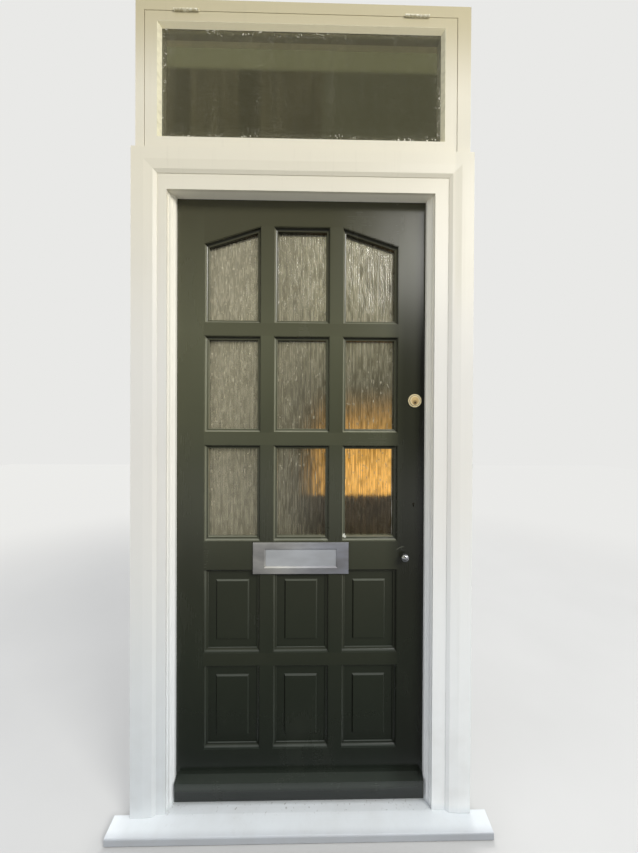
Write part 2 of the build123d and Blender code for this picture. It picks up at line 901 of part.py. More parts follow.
def cylinder_plug():
    """The plug with its keyway, and the flat tail that reaches into the latch."""
    front = leaf_front - boss_thickness
    body = rod_y(lock_x, front, barrel_end(), plug_z(), plug_radius)
    keyway_foot = plug_z() - plug_radius + keyway_lift
    keyway = block(lock_x - keyway_width / 2, lock_x + keyway_width / 2, front, front + keyway_depth,
                   keyway_foot, keyway_foot + keyway_height)
    tail = block(lock_x - tail_width / 2, lock_x + tail_width / 2, barrel_end(), tail_end(),
                 plug_z() - tail_thickness / 2, plug_z() + tail_thickness / 2)
    return body - keyway + tail


def barrel_end():
    """Depth of the inner end of the cylinder, short of the leaf's inside face."""
    return leaf_back - barrel_setback


def tail_end():
    """Depth that the tail reaches into the latch."""
    return leaf_back + case_wall + tail_entry


def latch_bolt_box(grow, throw):
    """The bolt, or the channel that it slides in."""
    half_height = latch_bolt_height / 2 + grow
    near = leaf_back + bolt_setback - grow
    return block(leaf_half - latch_bolt_length - grow, leaf_half + throw, near,
                 near + latch_bolt_thickness + 2 * grow, cylinder_z - half_height,
                 cylinder_z + half_height)


def latch_case():
    """The latch's case on the inside face, hollow where its bolt and the tail move."""
    x0 = leaf_half - latch_case_width
    body = block(x0, leaf_half, leaf_back, leaf_back + latch_case_depth,
                 cylinder_z - latch_case_height / 2, cylinder_z + latch_case_height / 2)
    body = fillet(body.faces().sort_by(Axis.Y)[-1].edges(), latch_case_round)
    body -= latch_bolt_box(slide_gap, overrun)
    body -= rod_y(lock_x, leaf_back, tail_end() + overrun, plug_z(), tail_width / 2 + tail_room)
    face = leaf_back + latch_case_depth
    return body - rod_y(knob_x(), face - spindle_reach - slide_gap, face, cylinder_z,
                        spindle_radius + pin_gap)


def knob_x():
    """The knob's spindle, on the far side of the tail from the edge of the leaf."""
    return leaf_half - latch_case_width + knob_inset


def latch_bolt():
    """The bolt, splayed on its outward side so that it rides over its keep as the leaf shuts."""
    body = latch_bolt_box(0, 0)
    nose = body.edges().filter_by(Axis.Z).sort_by(lambda edge: edge.center().X - edge.center().Y)[-1]
    room = tail_width / 2 + tail_room
    slot = block(lock_x - latch_throw - room, lock_x + room, leaf_back, tail_end() + overrun,
                 plug_z() - room, plug_z() + room)
    return chamfer(nose, latch_bolt_thickness - bolt_land) - slot


def turned_knob(x, y, z, towards, radius, length):
    """A knob turned about an axis along Y: a neck, a straight-sided head and a coned crown."""
    reach = towards * length
    outline = [(0, 0), (radius * knob_neck, 0), (radius * knob_neck, reach * knob_underside),
               (radius, reach * knob_underside), (radius, reach * knob_rim),
               (radius * knob_crown, reach), (0, reach)]
    plane = Plane(origin=(x, y, z), x_dir=(1, 0, 0), z_dir=(0, 0, 1))
    return revolve(plane * make_face(Polyline(*outline, close=True)), Axis((x, 0, z), (0, 1, 0)))


def latch_knob():
    """The turned knob that draws the bolt, on its spindle."""
    base = leaf_back + latch_case_depth
    knob = turned_knob(knob_x(), base + slide_gap, cylinder_z, 1, latch_knob_radius, latch_knob_length)
    spindle = rod_y(knob_x(), base - spindle_reach, base + slide_gap, cylinder_z, spindle_radius)
    return knob + spindle


def latch_staple():
    """The keep on the post's inside face, open towards the bolt."""
    x0 = jamb + staple_standoff
    body = block(x0, x0 + staple_width, frame_back, frame_back + latch_case_depth,
                 cylinder_z - latch_case_height / 2, cylinder_z + latch_case_height / 2)
    half = latch_bolt_height / 2 + keep_room
    near = leaf_back + bolt_setback - keep_room
    pocket = block(x0, x0 + latch_throw + keep_depth_room, near,
                   near + latch_bolt_thickness + 2 * keep_room, cylinder_z - half, cylinder_z + half)
    return body - pocket


def dead_bolt_box(grow, throw):
    """The dead bolt, or the channel that it slides in."""
    half = dead_bolt_height / 2 + grow
    depth = dead_bolt_thickness / 2 + grow
    return block(leaf_half - dead_bolt_length - grow, leaf_half + throw, leaf_middle - depth,
                 leaf_middle + depth, dead_bolt_z - half, dead_bolt_z + half)


def lock_case():
    """The mortice lock: its case, its face plate and the way for its bolt and its key."""
    foot = key_z - lock_case_below_key + neck_inset
    half = lock_case_thickness / 2 - neck_inset
    neck = block(leaf_half - forend_thickness - neck_inset, leaf_half - neck_inset, leaf_middle - half,
                 leaf_middle + half, foot, foot + lock_case_height - 2 * neck_inset)
    body = lock_case_box(slide_gap) + forend_box(slide_gap) + neck - dead_bolt_box(slide_gap, overrun)
    return body - keyhole(leaf_front, leaf_back)


def keep_block():
    """The space in the post that the dead bolt's keep fills."""
    half_height = forend_height / 2
    middle = key_z - lock_case_below_key + lock_case_height / 2
    plate = block(jamb, jamb + forend_thickness, leaf_middle - forend_width / 2,
                  leaf_middle + forend_width / 2, middle - half_height, middle + half_height)
    return plate + keep_box(0)


def keep_box(shrink):
    """The box behind the keep's plate, or the pocket inside its walls."""
    half = dead_bolt_height / 2 + dead_keep_height_room + keep_wall - shrink
    depth = dead_bolt_thickness / 2 + dead_keep_side_room + keep_wall - shrink
    end = jamb + dead_throw + dead_keep_depth_room + keep_wall - shrink
    return block(jamb, end, leaf_middle - depth, leaf_middle + depth, dead_bolt_z - half,
                 dead_bolt_z + half)


def dead_bolt_keep():
    """The keep let into the post for the dead bolt."""
    return keep_block() - keep_box(keep_wall)


def pull_knob():
    """The small turned pull on the outside face."""
    return turned_knob(pull_x, leaf_front, pull_z, -1, pull_radius, pull_projection)


def stay_pivot():
    """Depth and height of the stay's rivet on the sash."""
    return sash_thickness + stay_setback - stay_thickness / 2, transom_top + fan_stop_width + stay_clear


def stay_turn(solid):
    """The stay lifted off its pegs about its rivet."""
    y, z = stay_pivot()
    centre = Pos(stay_pivot_x, y, z)
    return centre * Rot(0, -stay_lift, 0) * centre.inverse() * solid


def peg_places():
    """X of each peg on the transom."""
    first = stay_pivot_x + stay_first_peg
    return [first + index * stay_peg_spacing for index in range(stay_peg_count)]


def stay_arm():
    """The stay: a flat bar bored for its pegs, with an eye on its rivet."""
    y, z = stay_pivot()
    x0, x1 = stay_pivot_x, stay_pivot_x + stay_length
    near, far = y - stay_width / 2, y + stay_width / 2
    half = stay_thickness / 2
    arm = block(x0, x1, near, far, z - half, z + half)
    arm += rod_z(x1, y, z - half, z + half, stay_width / 2)
    arm += rod_y(x0, near, far, z, eye_radius)
    for x in peg_places():
        arm -= rod_z(x, y, z - half - overrun, z + half + overrun, peg_radius + peg_hole_gap)
    arm -= rod_y(x0, near - overrun, far + overrun, z, rivet_radius + pin_gap)
    return stay_turn(arm)


def stay_bracket():
    """The plate on the sash with the rivet that carries the stay."""
    y, z = stay_pivot()
    face = sash_thickness + bracket_thickness
    foot = z - bracket_below_rivet
    plate = block(stay_pivot_x - bracket_width / 2, stay_pivot_x + bracket_width / 2, sash_thickness,
                  face, foot, foot + bracket_height)
    head = y + stay_width / 2 + slide_gap
    rivet = rod_y(stay_pivot_x, face, head, z, rivet_radius)
    return plate + rivet + rod_y(stay_pivot_x, head, head + rivet_head_height, z, rivet_head_radius)


def stay_pegs():
    """The pegs that stand on the transom's stop."""
    y, z = stay_pivot()
    foot = transom_top + fan_stop_width
    return [rod_z(x, y, foot, foot + peg_height, peg_radius) for x in peg_places()]


def all_nodes():
    """Every node's solids, by name."""
    nodes = {
        "sill": [sill()],
        "water_bar": [water_bar()],
        "post_left": [post(-1)],
        "post_right": [post(1)],
        "transom": [transom()],
        "upper_post_left": [upper_post(-1)],
        "upper_post_right": [upper_post(1)],
        "frame_head": [frame_head()],
        "casing_left": [casing_side(-1)],
        "casing_right": [casing_side(1)],
        "casing_head": [casing_head()],
        "stop_bead_left": [stop_bead(-1)],
        "stop_bead_right": [stop_bead(1)],
        "door_hinge_frame_leaves": [door_hinge_leaf(*span, True) for span in hinge_spans()],
        "fan_hinge_frame_leaves": [fan_hinge_leaf(*span, True) for span in fan_hinge_spans()],
        "latch_staple": [latch_staple()],
        "dead_bolt_keep": [dead_bolt_keep()],
        "stay_pegs": stay_pegs(),
        "stile_left": [stile(-1)],
        "stile_right": [stile(1)],
        "top_rail": [top_rail()],
        "lock_rail": [lock_rail()],
        "glazing_rails": [
            rail(pane_spans[row + 1][1], pane_spans[row][0]) for row in range(pane_rows - 1)
        ],
        "panel_rail": [rail(panel_spans[1][1], panel_spans[0][0])],
        "bottom_rail": [rail(leaf_foot, panel_spans[-1][0])],
        "glazing_muntins": muntins(pane_spans),
        "panel_muntins": muntins(panel_spans),
        "pane_mouldings": pane_mouldings(),
        "glazing_beads": glazing_beads(),
        "panel_mouldings": panel_mouldings(outside_section(panel_setback), leaf_front, 1, panel_setback),
        "panel_mouldings_inside": panel_mouldings(bead_section(inner_setback), leaf_back, -1,
                                                  inner_setback),
        "weatherboard": [weatherboard()],
        "door_hinge_leaves": [door_hinge_leaf(*span, False) for span in hinge_spans()],
        "door_hinge_pins": [door_hinge_pin(*span) for span in hinge_spans()],
        "letter_plate": [letter_plate()],
        "letter_flap": [letter_flap()],
        "letter_flap_pin": [letter_flap_pin()],
        "rim_cylinder": [rim_cylinder()],
        "cylinder_plug": [cylinder_plug()],
        "latch_case": [latch_case()],
        "latch_bolt": [latch_bolt()],
        "latch_knob": [latch_knob()],
        "lock_case": [lock_case()],
        "dead_bolt": [dead_bolt_box(0, 0)],
        "pull_knob": [pull_knob()],
        "fan_stile_left": [sash_stile(-1)],
        "fan_stile_right": [sash_stile(1)],
        "fan_top_rail": [sash_rail(True)],
        "fan_bottom_rail": [sash_rail(False)],
        "fan_glass": [sash_glass()],
        "fan_putty": [sash_putty()],
        "fan_hinge_leaves": [fan_hinge_leaf(*span, False) for span in fan_hinge_spans()],
        "fan_hinge_pins": [fan_hinge_pin(*span) for span in fan_hinge_spans()],
        "stay_arm": [stay_arm()],
        "stay_bracket": [stay_bracket()],
    }
    for row in range(pane_rows):
        nodes[f"panes_row_{row + 1}"] = panes(row)
    return nodes


def panel_nodes():
    """The panels, a row to a node."""
    return {
        f"panels_row_{row + 1}": [panel(row, column) for column in range(columns)]
        for row in range(panel_rows)
    }


def solids_of(pieces):
    """Every separate solid of a node's pieces."""
    return [solid for piece in pieces for solid in piece.solids()]


for name, pieces in (all_nodes() | panel_nodes()).items():
    export_step(Compound(children=solids_of(pieces)), f"parts/{name}.step")
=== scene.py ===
# %% [markdown]
# A panelled front door in its frame, dressed for a close look. The timber, glass and ironmongery come
# in as finished solids, in metres, each in its own place. This lesson gives every solid a finish that
# repeats what the real one has, swaps a few of them for finer surfaces, and lights the whole.

from math import pi, radians

import bpy
import numpy as np
from mathutils import Matrix, Vector


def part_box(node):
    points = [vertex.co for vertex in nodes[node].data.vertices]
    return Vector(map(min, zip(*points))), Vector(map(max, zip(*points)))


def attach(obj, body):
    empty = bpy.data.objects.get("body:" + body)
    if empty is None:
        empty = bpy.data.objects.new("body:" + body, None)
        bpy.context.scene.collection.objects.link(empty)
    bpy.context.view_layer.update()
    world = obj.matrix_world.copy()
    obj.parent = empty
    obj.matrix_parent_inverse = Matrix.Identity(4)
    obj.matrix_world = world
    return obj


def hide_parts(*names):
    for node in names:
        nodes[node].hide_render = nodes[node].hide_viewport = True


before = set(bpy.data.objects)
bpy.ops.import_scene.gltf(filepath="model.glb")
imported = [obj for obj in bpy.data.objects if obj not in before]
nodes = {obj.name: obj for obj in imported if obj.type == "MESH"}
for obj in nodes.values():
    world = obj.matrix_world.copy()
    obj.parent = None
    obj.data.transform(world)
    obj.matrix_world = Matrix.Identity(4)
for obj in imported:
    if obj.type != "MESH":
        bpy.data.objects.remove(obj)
scene = bpy.context.scene
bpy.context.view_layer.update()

# %% [markdown]
# The camera comes first, because every later choice is judged through it. It stands a metre from the
# door with a very wide lens, a little above the middle of the leaf, which is why the sill and the
# fanlight both look stretched. The three tilt angles are small, and turn about the view's own axes.

# %% Camera
image_width, image_height = 638, 853
focal_pixels = 328.17
sensor_long_side = 36.0
eye = Vector((0.0373, -1.0046, 1.2247))
tilt = Vector((radians(-0.318), radians(-0.263), radians(-1.023)))


def camera_at(place, turn):
    """A camera looking along +Y, turned by a rotation vector, with the lens that the picture needs."""
    data = bpy.data.cameras.new("camera")
    data.sensor_width = sensor_long_side
    data.lens = sensor_long_side * focal_pixels / image_height
    camera = bpy.data.objects.new("camera", data)
    scene.collection.objects.link(camera)
    right, forward, up = Matrix.Rotation(turn.length, 3, turn.normalized()).col
    camera.matrix_world = Matrix((right, up, -forward)).transposed().to_4x4()
    camera.matrix_world.translation = place
    return camera


scene.camera = camera_at(eye, tilt)
print("lens", round(scene.camera.data.lens, 2), "mm")

# %% [markdown]
# A finish is a sum of simple patterns. The nodes for such a sum could be added and linked one by one,
# but then no one can read the sum. So one small class stands for the output of a node, and + - * / on
# it add the Math nodes. Every other node comes from its one method, which takes the node's type, its
# settings and its inputs.

# %% Arithmetic on sockets
class Signal:
    """One output of a material's node, on which arithmetic adds Math nodes."""

    def __init__(self, tree, socket=None):
        self.tree = tree
        self.socket = socket

    def node(self, kind, settings=None, inputs=None, output=0):
        """Adds a node, sets its settings, fills its inputs by name or number, gives one output."""
        made = self.tree.nodes.new(kind)
        for name, value in (settings or {}).items():
            if name == "stops":
                set_stops(made.color_ramp, value)
            else:
                setattr(made, name, value)
        for name, value in (inputs or {}).items():
            if isinstance(value, Signal):
                self.tree.links.new(value.socket, made.inputs[name])
            else:
                made.inputs[name].default_value = value
        return Signal(self.tree, made.outputs[output])

    def maths(self, operation, *values):
        """A Math node on numbers or signals."""
        return self.node("ShaderNodeMath", {"operation": operation}, dict(enumerate(values)))

    def __add__(self, other):
        return self.maths("ADD", self, other)

    def __sub__(self, other):
        return self.maths("SUBTRACT", self, other)

    def __mul__(self, other):
        return self.maths("MULTIPLY", self, other)

    def __truediv__(self, other):
        return self.maths("DIVIDE", self, other)

    def __rsub__(self, other):
        return self.maths("SUBTRACT", other, self)

    def __rtruediv__(self, other):
        return self.maths("DIVIDE", other, self)

    __radd__ = __add__
    __rmul__ = __mul__


def set_stops(ramp, stops):
    """Gives a colour ramp its (position, colour) stops."""
    while len(ramp.elements) < len(stops):
        ramp.elements.new(1.0)
    for element, (position, colour) in zip(ramp.elements, stops):
        element.position = position
        element.color = colour


print("a", Signal.__name__.lower(), "knows", [name for name in vars(Signal) if "__" not in name])

# %% [markdown]
# Colours are easiest to choose as the eye reads them, in steps from 0 to 255, but Blender reckons in
# light, so each is turned into light first.

# %% Colours
def linear(red, green, blue):
    """A colour written as the eye reads it, 0 to 255, turned into light."""
    share = np.array([red, green, blue]) / 255
    light = np.where(share <= 0.04045, share / 12.92, ((share + 0.055) / 1.055) ** 2.4)
    return (*light.tolist(), 1.0)


print("middle grey gives", round(linear(128, 128, 128)[0], 3), "of the light of white")

# %% [markdown]
# Dirt, shade and wear lie where the door puts them: low down, in a corner, on a face that looks up. So
# the patterns read the place on the piece in metres, and the way that a face looks. Neither changes
# when the door swings, because both are measured on the piece itself.

# %% Places on a piece
def object_place(start, stretch=(1.0, 1.0, 1.0), slide=(0.0, 0.0, 0.0)):
    """The place on the piece, in metres, stretched and slid before a pattern reads it."""
    place = start.node("ShaderNodeTexCoord", output="Object")
    return start.node("ShaderNodeMapping", inputs={"Vector": place, "Scale": stretch, "Location": slide})


def axis_of(start, axis):
    """The place along one axis, in metres."""
    place = start.node("ShaderNodeTexCoord", output="Object")
    return start.node("ShaderNodeSeparateXYZ", inputs={0: place}, output=axis)


def facing(start, axis):
    """How far a face looks along one axis, on the piece itself: 1 along it, -1 against it."""
    normal = start.node("ShaderNodeTexCoord", output="Normal")
    return start.node("ShaderNodeSeparateXYZ", inputs={0: normal}, output=axis)


def round_from(start, centre):
    """How far a place is from an axis along Y, in metres."""
    across, up = axis_of(start, 0) - centre[0], axis_of(start, 2) - centre[2]
    return start.maths("SQRT", across * across + up * up)


def middle_of(name):
    """The middle of a node's box."""
    low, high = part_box(name)
    return (Vector(low) + Vector(high)) / 2


leaf_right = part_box("stile_right")[1][0]
pane_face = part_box("panes_row_1")[0][1]
lock_rail_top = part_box("lock_rail")[1][2]
board_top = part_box("weatherboard")[1][2]
sill_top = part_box("post_right")[0][2]
frame_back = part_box("post_right")[1][1]
print("leaf to", round(leaf_right, 4), "sill to", round(sill_top, 4), "frame to", round(frame_back, 4))

# %% [markdown]
# Three patterns do most of the work: clouds of noise, a smooth step that cuts clouds or places to
# size, and a mix that lays one tone over another. A bump turns the same patterns into relief that is too
# fine to model, such as brush marks.

# %% Patterns
def noise(start, scale, stretch=(1.0, 1.0, 1.0), detail=3.0, slide=(0.0, 0.0, 0.0)):
    """Cloudy noise from 0 to 1 with a number of features to the metre."""
    return start.node("ShaderNodeTexNoise", {"noise_dimensions": "3D"},
                      {"Vector": object_place(start, stretch, slide), "Scale": scale, "Detail": detail})


def between(signal, low, high):
    """0 below low, 1 above high, and a smooth step from one to the other."""
    return signal.node("ShaderNodeMapRange", {"interpolation_type": "SMOOTHSTEP"},
                       {0: signal, 1: low, 2: high, 3: 0.0, 4: 1.0})


def mixed(share, first, second):
    """One colour turning into another."""
    return share.node("ShaderNodeMix", {"data_type": "RGBA"}, {0: share, 6: first, 7: second}, output=2)


def bumped(height, strength, distance, under=None):
    """A surface normal that follows a height."""
    inputs = {"Height": height, "Strength": strength, "Distance": distance}
    if under is not None:
        inputs["Normal"] = under
    return height.node("ShaderNodeBump", inputs=inputs)


def new_material(name, build, **constants):
    """A material whose surface takes constants directly and its varying sockets from build."""
    material = bpy.data.materials.new(name)
    material.use_nodes = True
    surface = material.node_tree.nodes["Principled BSDF"]
    for socket, value in constants.items():
        surface.inputs[socket.replace("_", " ")].default_value = value
    for socket, signal in build(Signal(material.node_tree)).items():
        material.node_tree.links.new(signal.socket, surface.inputs[socket])
    return material


print("patterns", [pattern.__name__ for pattern in (noise, between, mixed, bumped)])

# %% [markdown]
# Paint on joinery is never one tone. A brush leaves fine ridges along the length of each member, the
# film is a little thicker here and there, and dust and rain leave their own film on top. Along the
# length matters: on a stile the brush went up and down, on a rail from side to side, so each coat is
# made twice, with its ridges along X or along Z.

# %% Brush marks
brush_pitch = 1 / 0.004
brush_reach = 1 / 0.35
brush_axes = {"x": (brush_reach, brush_pitch, brush_pitch), "z": (brush_pitch, brush_pitch, brush_reach)}


def brush_marks(start, axis):
    """Ridges of the brush, long along one axis and a few millimetres across."""
    return noise(start, 1.0, brush_axes[axis], detail=2.0)


print("brush marks are", 1000 / brush_pitch, "mm across and", 1000 / brush_reach, "mm long")

# %% [markdown]
# The leaf is a dark olive satin. Its tone is a ramp over height that holds painted sheen and shade: paler
# up the leaf, dark near the ground and under the head, with a band of painted light on the weatherboard's
# top. Shares then lay painted shade beside the right post and on the faces that look down or to the left,
# and dust with painted highlights on the faces that look up or to the right. Those come from the way that a
# face looks, so that no moulding needs a mask of its own.

# %% Green paint
green_top = 2.0
# Tones by height as shares of green_top: the olive with painted sheen above, painted shade low down and
# under the head, and painted light on the weatherboard's top.
green_tones_and_painted_shade = [(0.0, (16, 20, 17)), (0.036, (22, 27, 23)), (0.044, (54, 60, 54)), (0.062, (23, 29, 23)),
               (0.23, (37, 42, 32)), (0.40, (49, 51, 39)), (0.58, (66, 68, 51)), (0.76, (86, 87, 67)),
               (0.95, (69, 68, 50))]
green_in_shade = linear(14, 15, 10)
green_scuffed = linear(104, 103, 90)


def post_shade(start):
    """How far the right post shades the leaf: its right stile below the head, less near the ground, and
    the last few centimetres most."""
    across, level = axis_of(start, 0), axis_of(start, 2)
    stile = between(across, leaf_right - 0.1465, leaf_right - 0.0715) * between(level, 1.85, 1.45)
    stile = stile * (between(level, 0.5, 0.9) * 0.26 + 0.44)
    return stile + between(across, leaf_right - 0.0465, leaf_right - 0.0025) * 0.36


def painted_shade_by_facing(start):
    """Shares of painted shade on the faces that look down or to the left, on which little light falls."""
    looks_up, looks_right = facing(start, 2), facing(start, 0)
    return between(looks_up, -0.1, -0.7) * 0.75 + between(looks_right, -0.25, -0.8) * 0.5


def dust_and_painted_highlight(start, dust):
    """Shares of the faces that look up, where dust lies and, as painted light, light from above falls, or
    to the right, with a painted highlight. There are fewer low down, and none at the foot."""
    level = axis_of(start, 2)
    looks_up, looks_right = facing(start, 2), facing(start, 0)
    ledge = between(looks_up, 0.35, 0.9) * (dust * 0.3 + 0.45) + between(looks_right, 0.3, 0.9) * 0.34
    above_board = between(level, board_top + 0.004, board_top + 0.024)
    return ledge * above_board * (between(level, 0.5, 1.0) * 0.82 + 0.18)


print("green tones at", [round(position * green_top, 2) for position, _ in green_tones_and_painted_shade], "m")

# %% [markdown]
# Use has left two scars outside: a ragged chip at the corner of the lowest right pane, and an old arc
# scratched round the pull. One is a disc and the other a ring, each measured from a place on the leaf.
# They lie over everything else, so the coat takes them last.

# %% Scars and the green coat
chip_place = (0.1405, 0.0, lock_rail_top + 0.0155)
pull_place = middle_of("pull_knob")
scratch_round = 0.029


def scars(start):
    """Shares of the chip and of the arc, which is a thin ring cut off below and to the right."""
    outside = between(axis_of(start, 1), pane_face + 0.002, pane_face)
    ragged = noise(start, 300.0, detail=1.0) * 0.006
    chip = between(round_from(start, chip_place) + ragged, 0.0105, 0.0085)
    reach = round_from(start, pull_place) - scratch_round
    arc = between(reach, -0.0016, 0.0) * between(reach, 0.0016, 0.0)
    above = between(axis_of(start, 2), pull_place[2] + 0.017, pull_place[2] + 0.021)
    left = between(axis_of(start, 0), pull_place[0] + 0.004, pull_place[0] - 0.002)
    return chip * outside, arc * above * left * outside


def green_coat(axis):
    """Olive satin paint: a clouded tone by height with painted sheen and shade, the post's painted shadow,
    painted shade where faces look down or left, dust and painted highlights where they look up or right,
    the scars, and brush marks along one axis. What is brushed along X, the rails, is a little paler: a
    painted sheen."""
    # Painted sheen: the rails, brushed along X, are made a little paler.
    lift = 0.055 if axis == "x" else 0.0
    stops = [(position, linear(*colour)) for position, colour in green_tones_and_painted_shade]

    def build(start):
        clouds = noise(start, 3.5, detail=4.0)
        fine = noise(start, 160.0, detail=2.0, slide=(3.0, 1.0, 7.0))
        dust = between(noise(start, 9.0, (1.0, 1.0, 0.35), 5.0, (5.0, 2.0, 1.0)), 0.5, 0.85)
        marks = brush_marks(start, axis)
        level = axis_of(start, 2)
        height = level / green_top + (clouds * 0.10 - 0.05 + lift) * between(level, 0.15, 0.5)
        tone = start.node("ShaderNodeValToRGB", {"stops": stops}, {0: height})
        tone = mixed(dust * 0.05 + fine * 0.02, tone, green_scuffed)
        tone = mixed(post_shade(start), tone, green_in_shade)
        tone = mixed(painted_shade_by_facing(start), tone, green_in_shade)
        # Dust and painted highlight: a pale tone on the faces that look up or to the right.
        dust_and_highlight_tone = mixed(between(level, 0.5, 1.0), linear(158, 166, 158), linear(178, 178, 154))
        tone = mixed(dust_and_painted_highlight(start, dust), tone, dust_and_highlight_tone)
        chip, scratch = scars(start)
        tone = mixed(scratch * 0.4, tone, linear(138, 140, 124))
        return {"Base Color": mixed(chip, tone, linear(210, 210, 200)),
                "Roughness": clouds * 0.08 + dust * 0.12 + marks * 0.06 + 0.17,
                "Normal": bumped(marks, 0.12, 0.0003, bumped(fine, 0.1, 0.0002))}
    return new_material("green paint " + axis, build, Specular_IOR_Level=0.45)


green_paint = {axis: green_coat(axis) for axis in "xz"}
print("green", [material.name for material in green_paint.values()])

# %% [markdown]
# The frame is a white gloss that changes by place: cool and splashed near the ground, yellow towards the
# head, in part painted shade, paler in the rebates as painted light, and dark on the sash's inner reveals
# as painted shade. These places could be painted by hand, but the solids give their edges, so each is a box
# of soft steps.

# %% Places on the frame
sash_side = -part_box("fan_top_rail")[0][0]
sash_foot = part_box("fan_bottom_rail")[1][2]
sash_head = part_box("fan_top_rail")[0][2]
glass_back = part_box("fan_glass")[1][1]
casing_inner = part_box("casing_right")[0][0]


def shaded_sash_reveals(start):
    """The sash's inner reveals, indoors of its glass, which take painted shade."""
    across, inwards, height = [axis_of(start, axis) for axis in range(3)]
    sides = between(across.maths("ABSOLUTE", across), sash_side + 0.0015, sash_side + 0.0002)
    foot = between(height, sash_foot - 0.0015, sash_foot - 0.0002)
    head = between(height, sash_head + 0.0012, sash_head - 0.0001)
    return sides * between(inwards, glass_back, glass_back + 0.014) * foot * head


def painted_light_in_rebates(start):
    """The faces round the leaf, from sill to head, a little more on the right, which are painted paler as
    painted light.
    """
    across, inwards, height = [axis_of(start, axis) for axis in range(3)]
    deep = between(inwards, 0.006, 0.012) * between(inwards, frame_back, frame_back - 0.002)
    high = between(height, 2.05, 2.0) * between(height, sill_top + 0.004, sill_top + 0.014)
    return deep * high * (between(across, -0.3, 0.35) * 0.3 + 0.6)


def outer_casing(start):
    """The right casing's raised edge, and what stands above it, near the door's head, which takes painted
    shade.
    """
    across, height = axis_of(start, 0), axis_of(start, 2)
    edge = between(across, casing_inner + 0.0105, casing_inner + 0.0225)
    return edge * between(height, 1.5, 1.75) * between(height, 2.25, 2.1)


def right_foot(start):
    """The lower part of the right post and casing, above the sill, which is made paler and cooler."""
    across, height = axis_of(start, 0), axis_of(start, 2)
    low = between(height, 1.1, 0.4) * between(height, sill_top - 0.001, sill_top + 0.029)
    return between(across, 0.3, 0.45) * low


print("sash opening", round(2 * sash_side, 3), "by", round(sash_head - sash_foot, 3), "m")

# %% [markdown]
# The white coat lays those places over a tone by height. The sill has changes of its own: grey over its
# top, most at the right end, and darker round its nosing, both painted shade, with crumbs of dirt along the
# frame's foot.

# %% White paint
def white_by_height_and_shade(start):
    """White by height: cool at the ground, then neutral, then cream, and yellow at the top, in part painted
    shade under the head.
    """
    height = axis_of(start, 2)
    lower = mixed(between(height, 0.1, 1.1), linear(224, 229, 231), linear(230, 228, 221))
    upper = mixed(between(height, 1.3, 2.1), lower, linear(227, 221, 201))
    return mixed(between(height, 2.2, 2.5), upper, linear(196, 186, 152))


def sill_dirt_and_painted_shade(start, tone):
    """The tone of the paint, changed on the sill: grey top, most at the right end, and dark front edge, as
    painted shade, crumbs along the foot.
    """
    across, inwards, height = [axis_of(start, axis) for axis in range(3)]
    # Painted shade: the sill's top goes grey, most towards its right end.
    grey_top_and_painted_shade = between(height, sill_top + 0.002, sill_top + 0.0005)
    grey_top_and_painted_shade = grey_top_and_painted_shade * (between(across, 0.25, 0.56) * 0.45 + 0.05)
    tone = mixed(grey_top_and_painted_shade, tone, linear(186, 191, 194))
    # Painted shade: the nosing's face is darkened.
    nosing = between(height, sill_top - 0.0035, sill_top - 0.0075)
    tone = mixed(nosing * 0.5, tone, linear(136, 140, 150))
    foot = between(height, sill_top + 0.003, sill_top + 0.001) * between(inwards, -0.012, 0.012)
    crumbs = between(noise(start, 120.0, detail=3.0), 0.62, 0.74) * foot
    return mixed(crumbs * 0.5 + foot * 0.08, tone, linear(112, 108, 96))


def white_coat(axis):
    """White gloss paint: a tone by height and place, with painted shade and painted light, faint runs of
    grime, splashes near the ground, and brush marks along one axis."""
    def build(start):
        height = axis_of(start, 2)
        clouds = noise(start, 2.4, detail=4.0, slide=(1.0, 8.0, 2.0))
        streaks = noise(start, 1.0, (60.0, 60.0, 3.0), 4.0)
        splash = between(height, 0.7, 0.0) * between(noise(start, 14.0, detail=6.0), 0.35, 0.75)
        grime = between(streaks, 0.55, 0.85) * 0.08 + splash * 0.10 + between(clouds, 0.45, 0.8) * 0.04
        marks = brush_marks(start, axis)
        # Painted shade: the sash's inner reveals behind the glass are darkened.
        tone = mixed(shaded_sash_reveals(start), white_by_height_and_shade(start), linear(140, 132, 106))
        # Painted light: the rebates are made paler and whiter than the frame round them.
        clean = mixed(between(height, 0.3, 1.5), linear(248, 251, 253), linear(255, 251, 236))
        tone = mixed(painted_light_in_rebates(start), tone, clean)
        # Painted shade: the right casing's edge near the head is darkened.
        tone = mixed(outer_casing(start) * 0.6, tone, linear(214, 209, 190))
        tone = mixed(right_foot(start) * 0.7, tone, linear(246, 248, 247))
        return {"Base Color": mixed(grime, sill_dirt_and_painted_shade(start, tone), linear(150, 142, 124)),
                "Roughness": clouds * 0.1 + grime * 0.5 + marks * 0.05 + 0.24,
                "Normal": bumped(marks, 0.25, 0.0005)}
    return new_material("white paint " + axis, build, Specular_IOR_Level=0.4)


white_paint = {axis: white_coat(axis) for axis in "xz"}
print("white", [material.name for material in white_paint.values()])

# %% [markdown]
# The fanlight's hinges were painted over with the frame every time, so their edges have gone and the
# paint stands on them in lumps. A coarse bump does that better than a finer model would.

# %% Painted hinges
def painted_hinge():
    """Hinges painted over with the frame again and again: thick and lumpy, and paler than the head, as
    painted light on their shaded undersides.
    """
    def build(start):
        lumps = noise(start, 130.0, detail=3.0)
        # Painted light: both tones are paler than the head's paint, so the knuckles' shaded undersides read
        # lighter.
        tone = mixed(between(lumps, 0.4, 0.7), linear(206, 197, 164), linear(250, 246, 226))
        return {"Base Color": tone, "Roughness": lumps * 0.15 + 0.25, "Normal": bumped(lumps, 0.6, 0.001)}
    return new_material("painted hinge", build)


hinge_paint_and_painted_light = painted_hinge()
print("hinges", hinge_paint_and_painted_light.name)

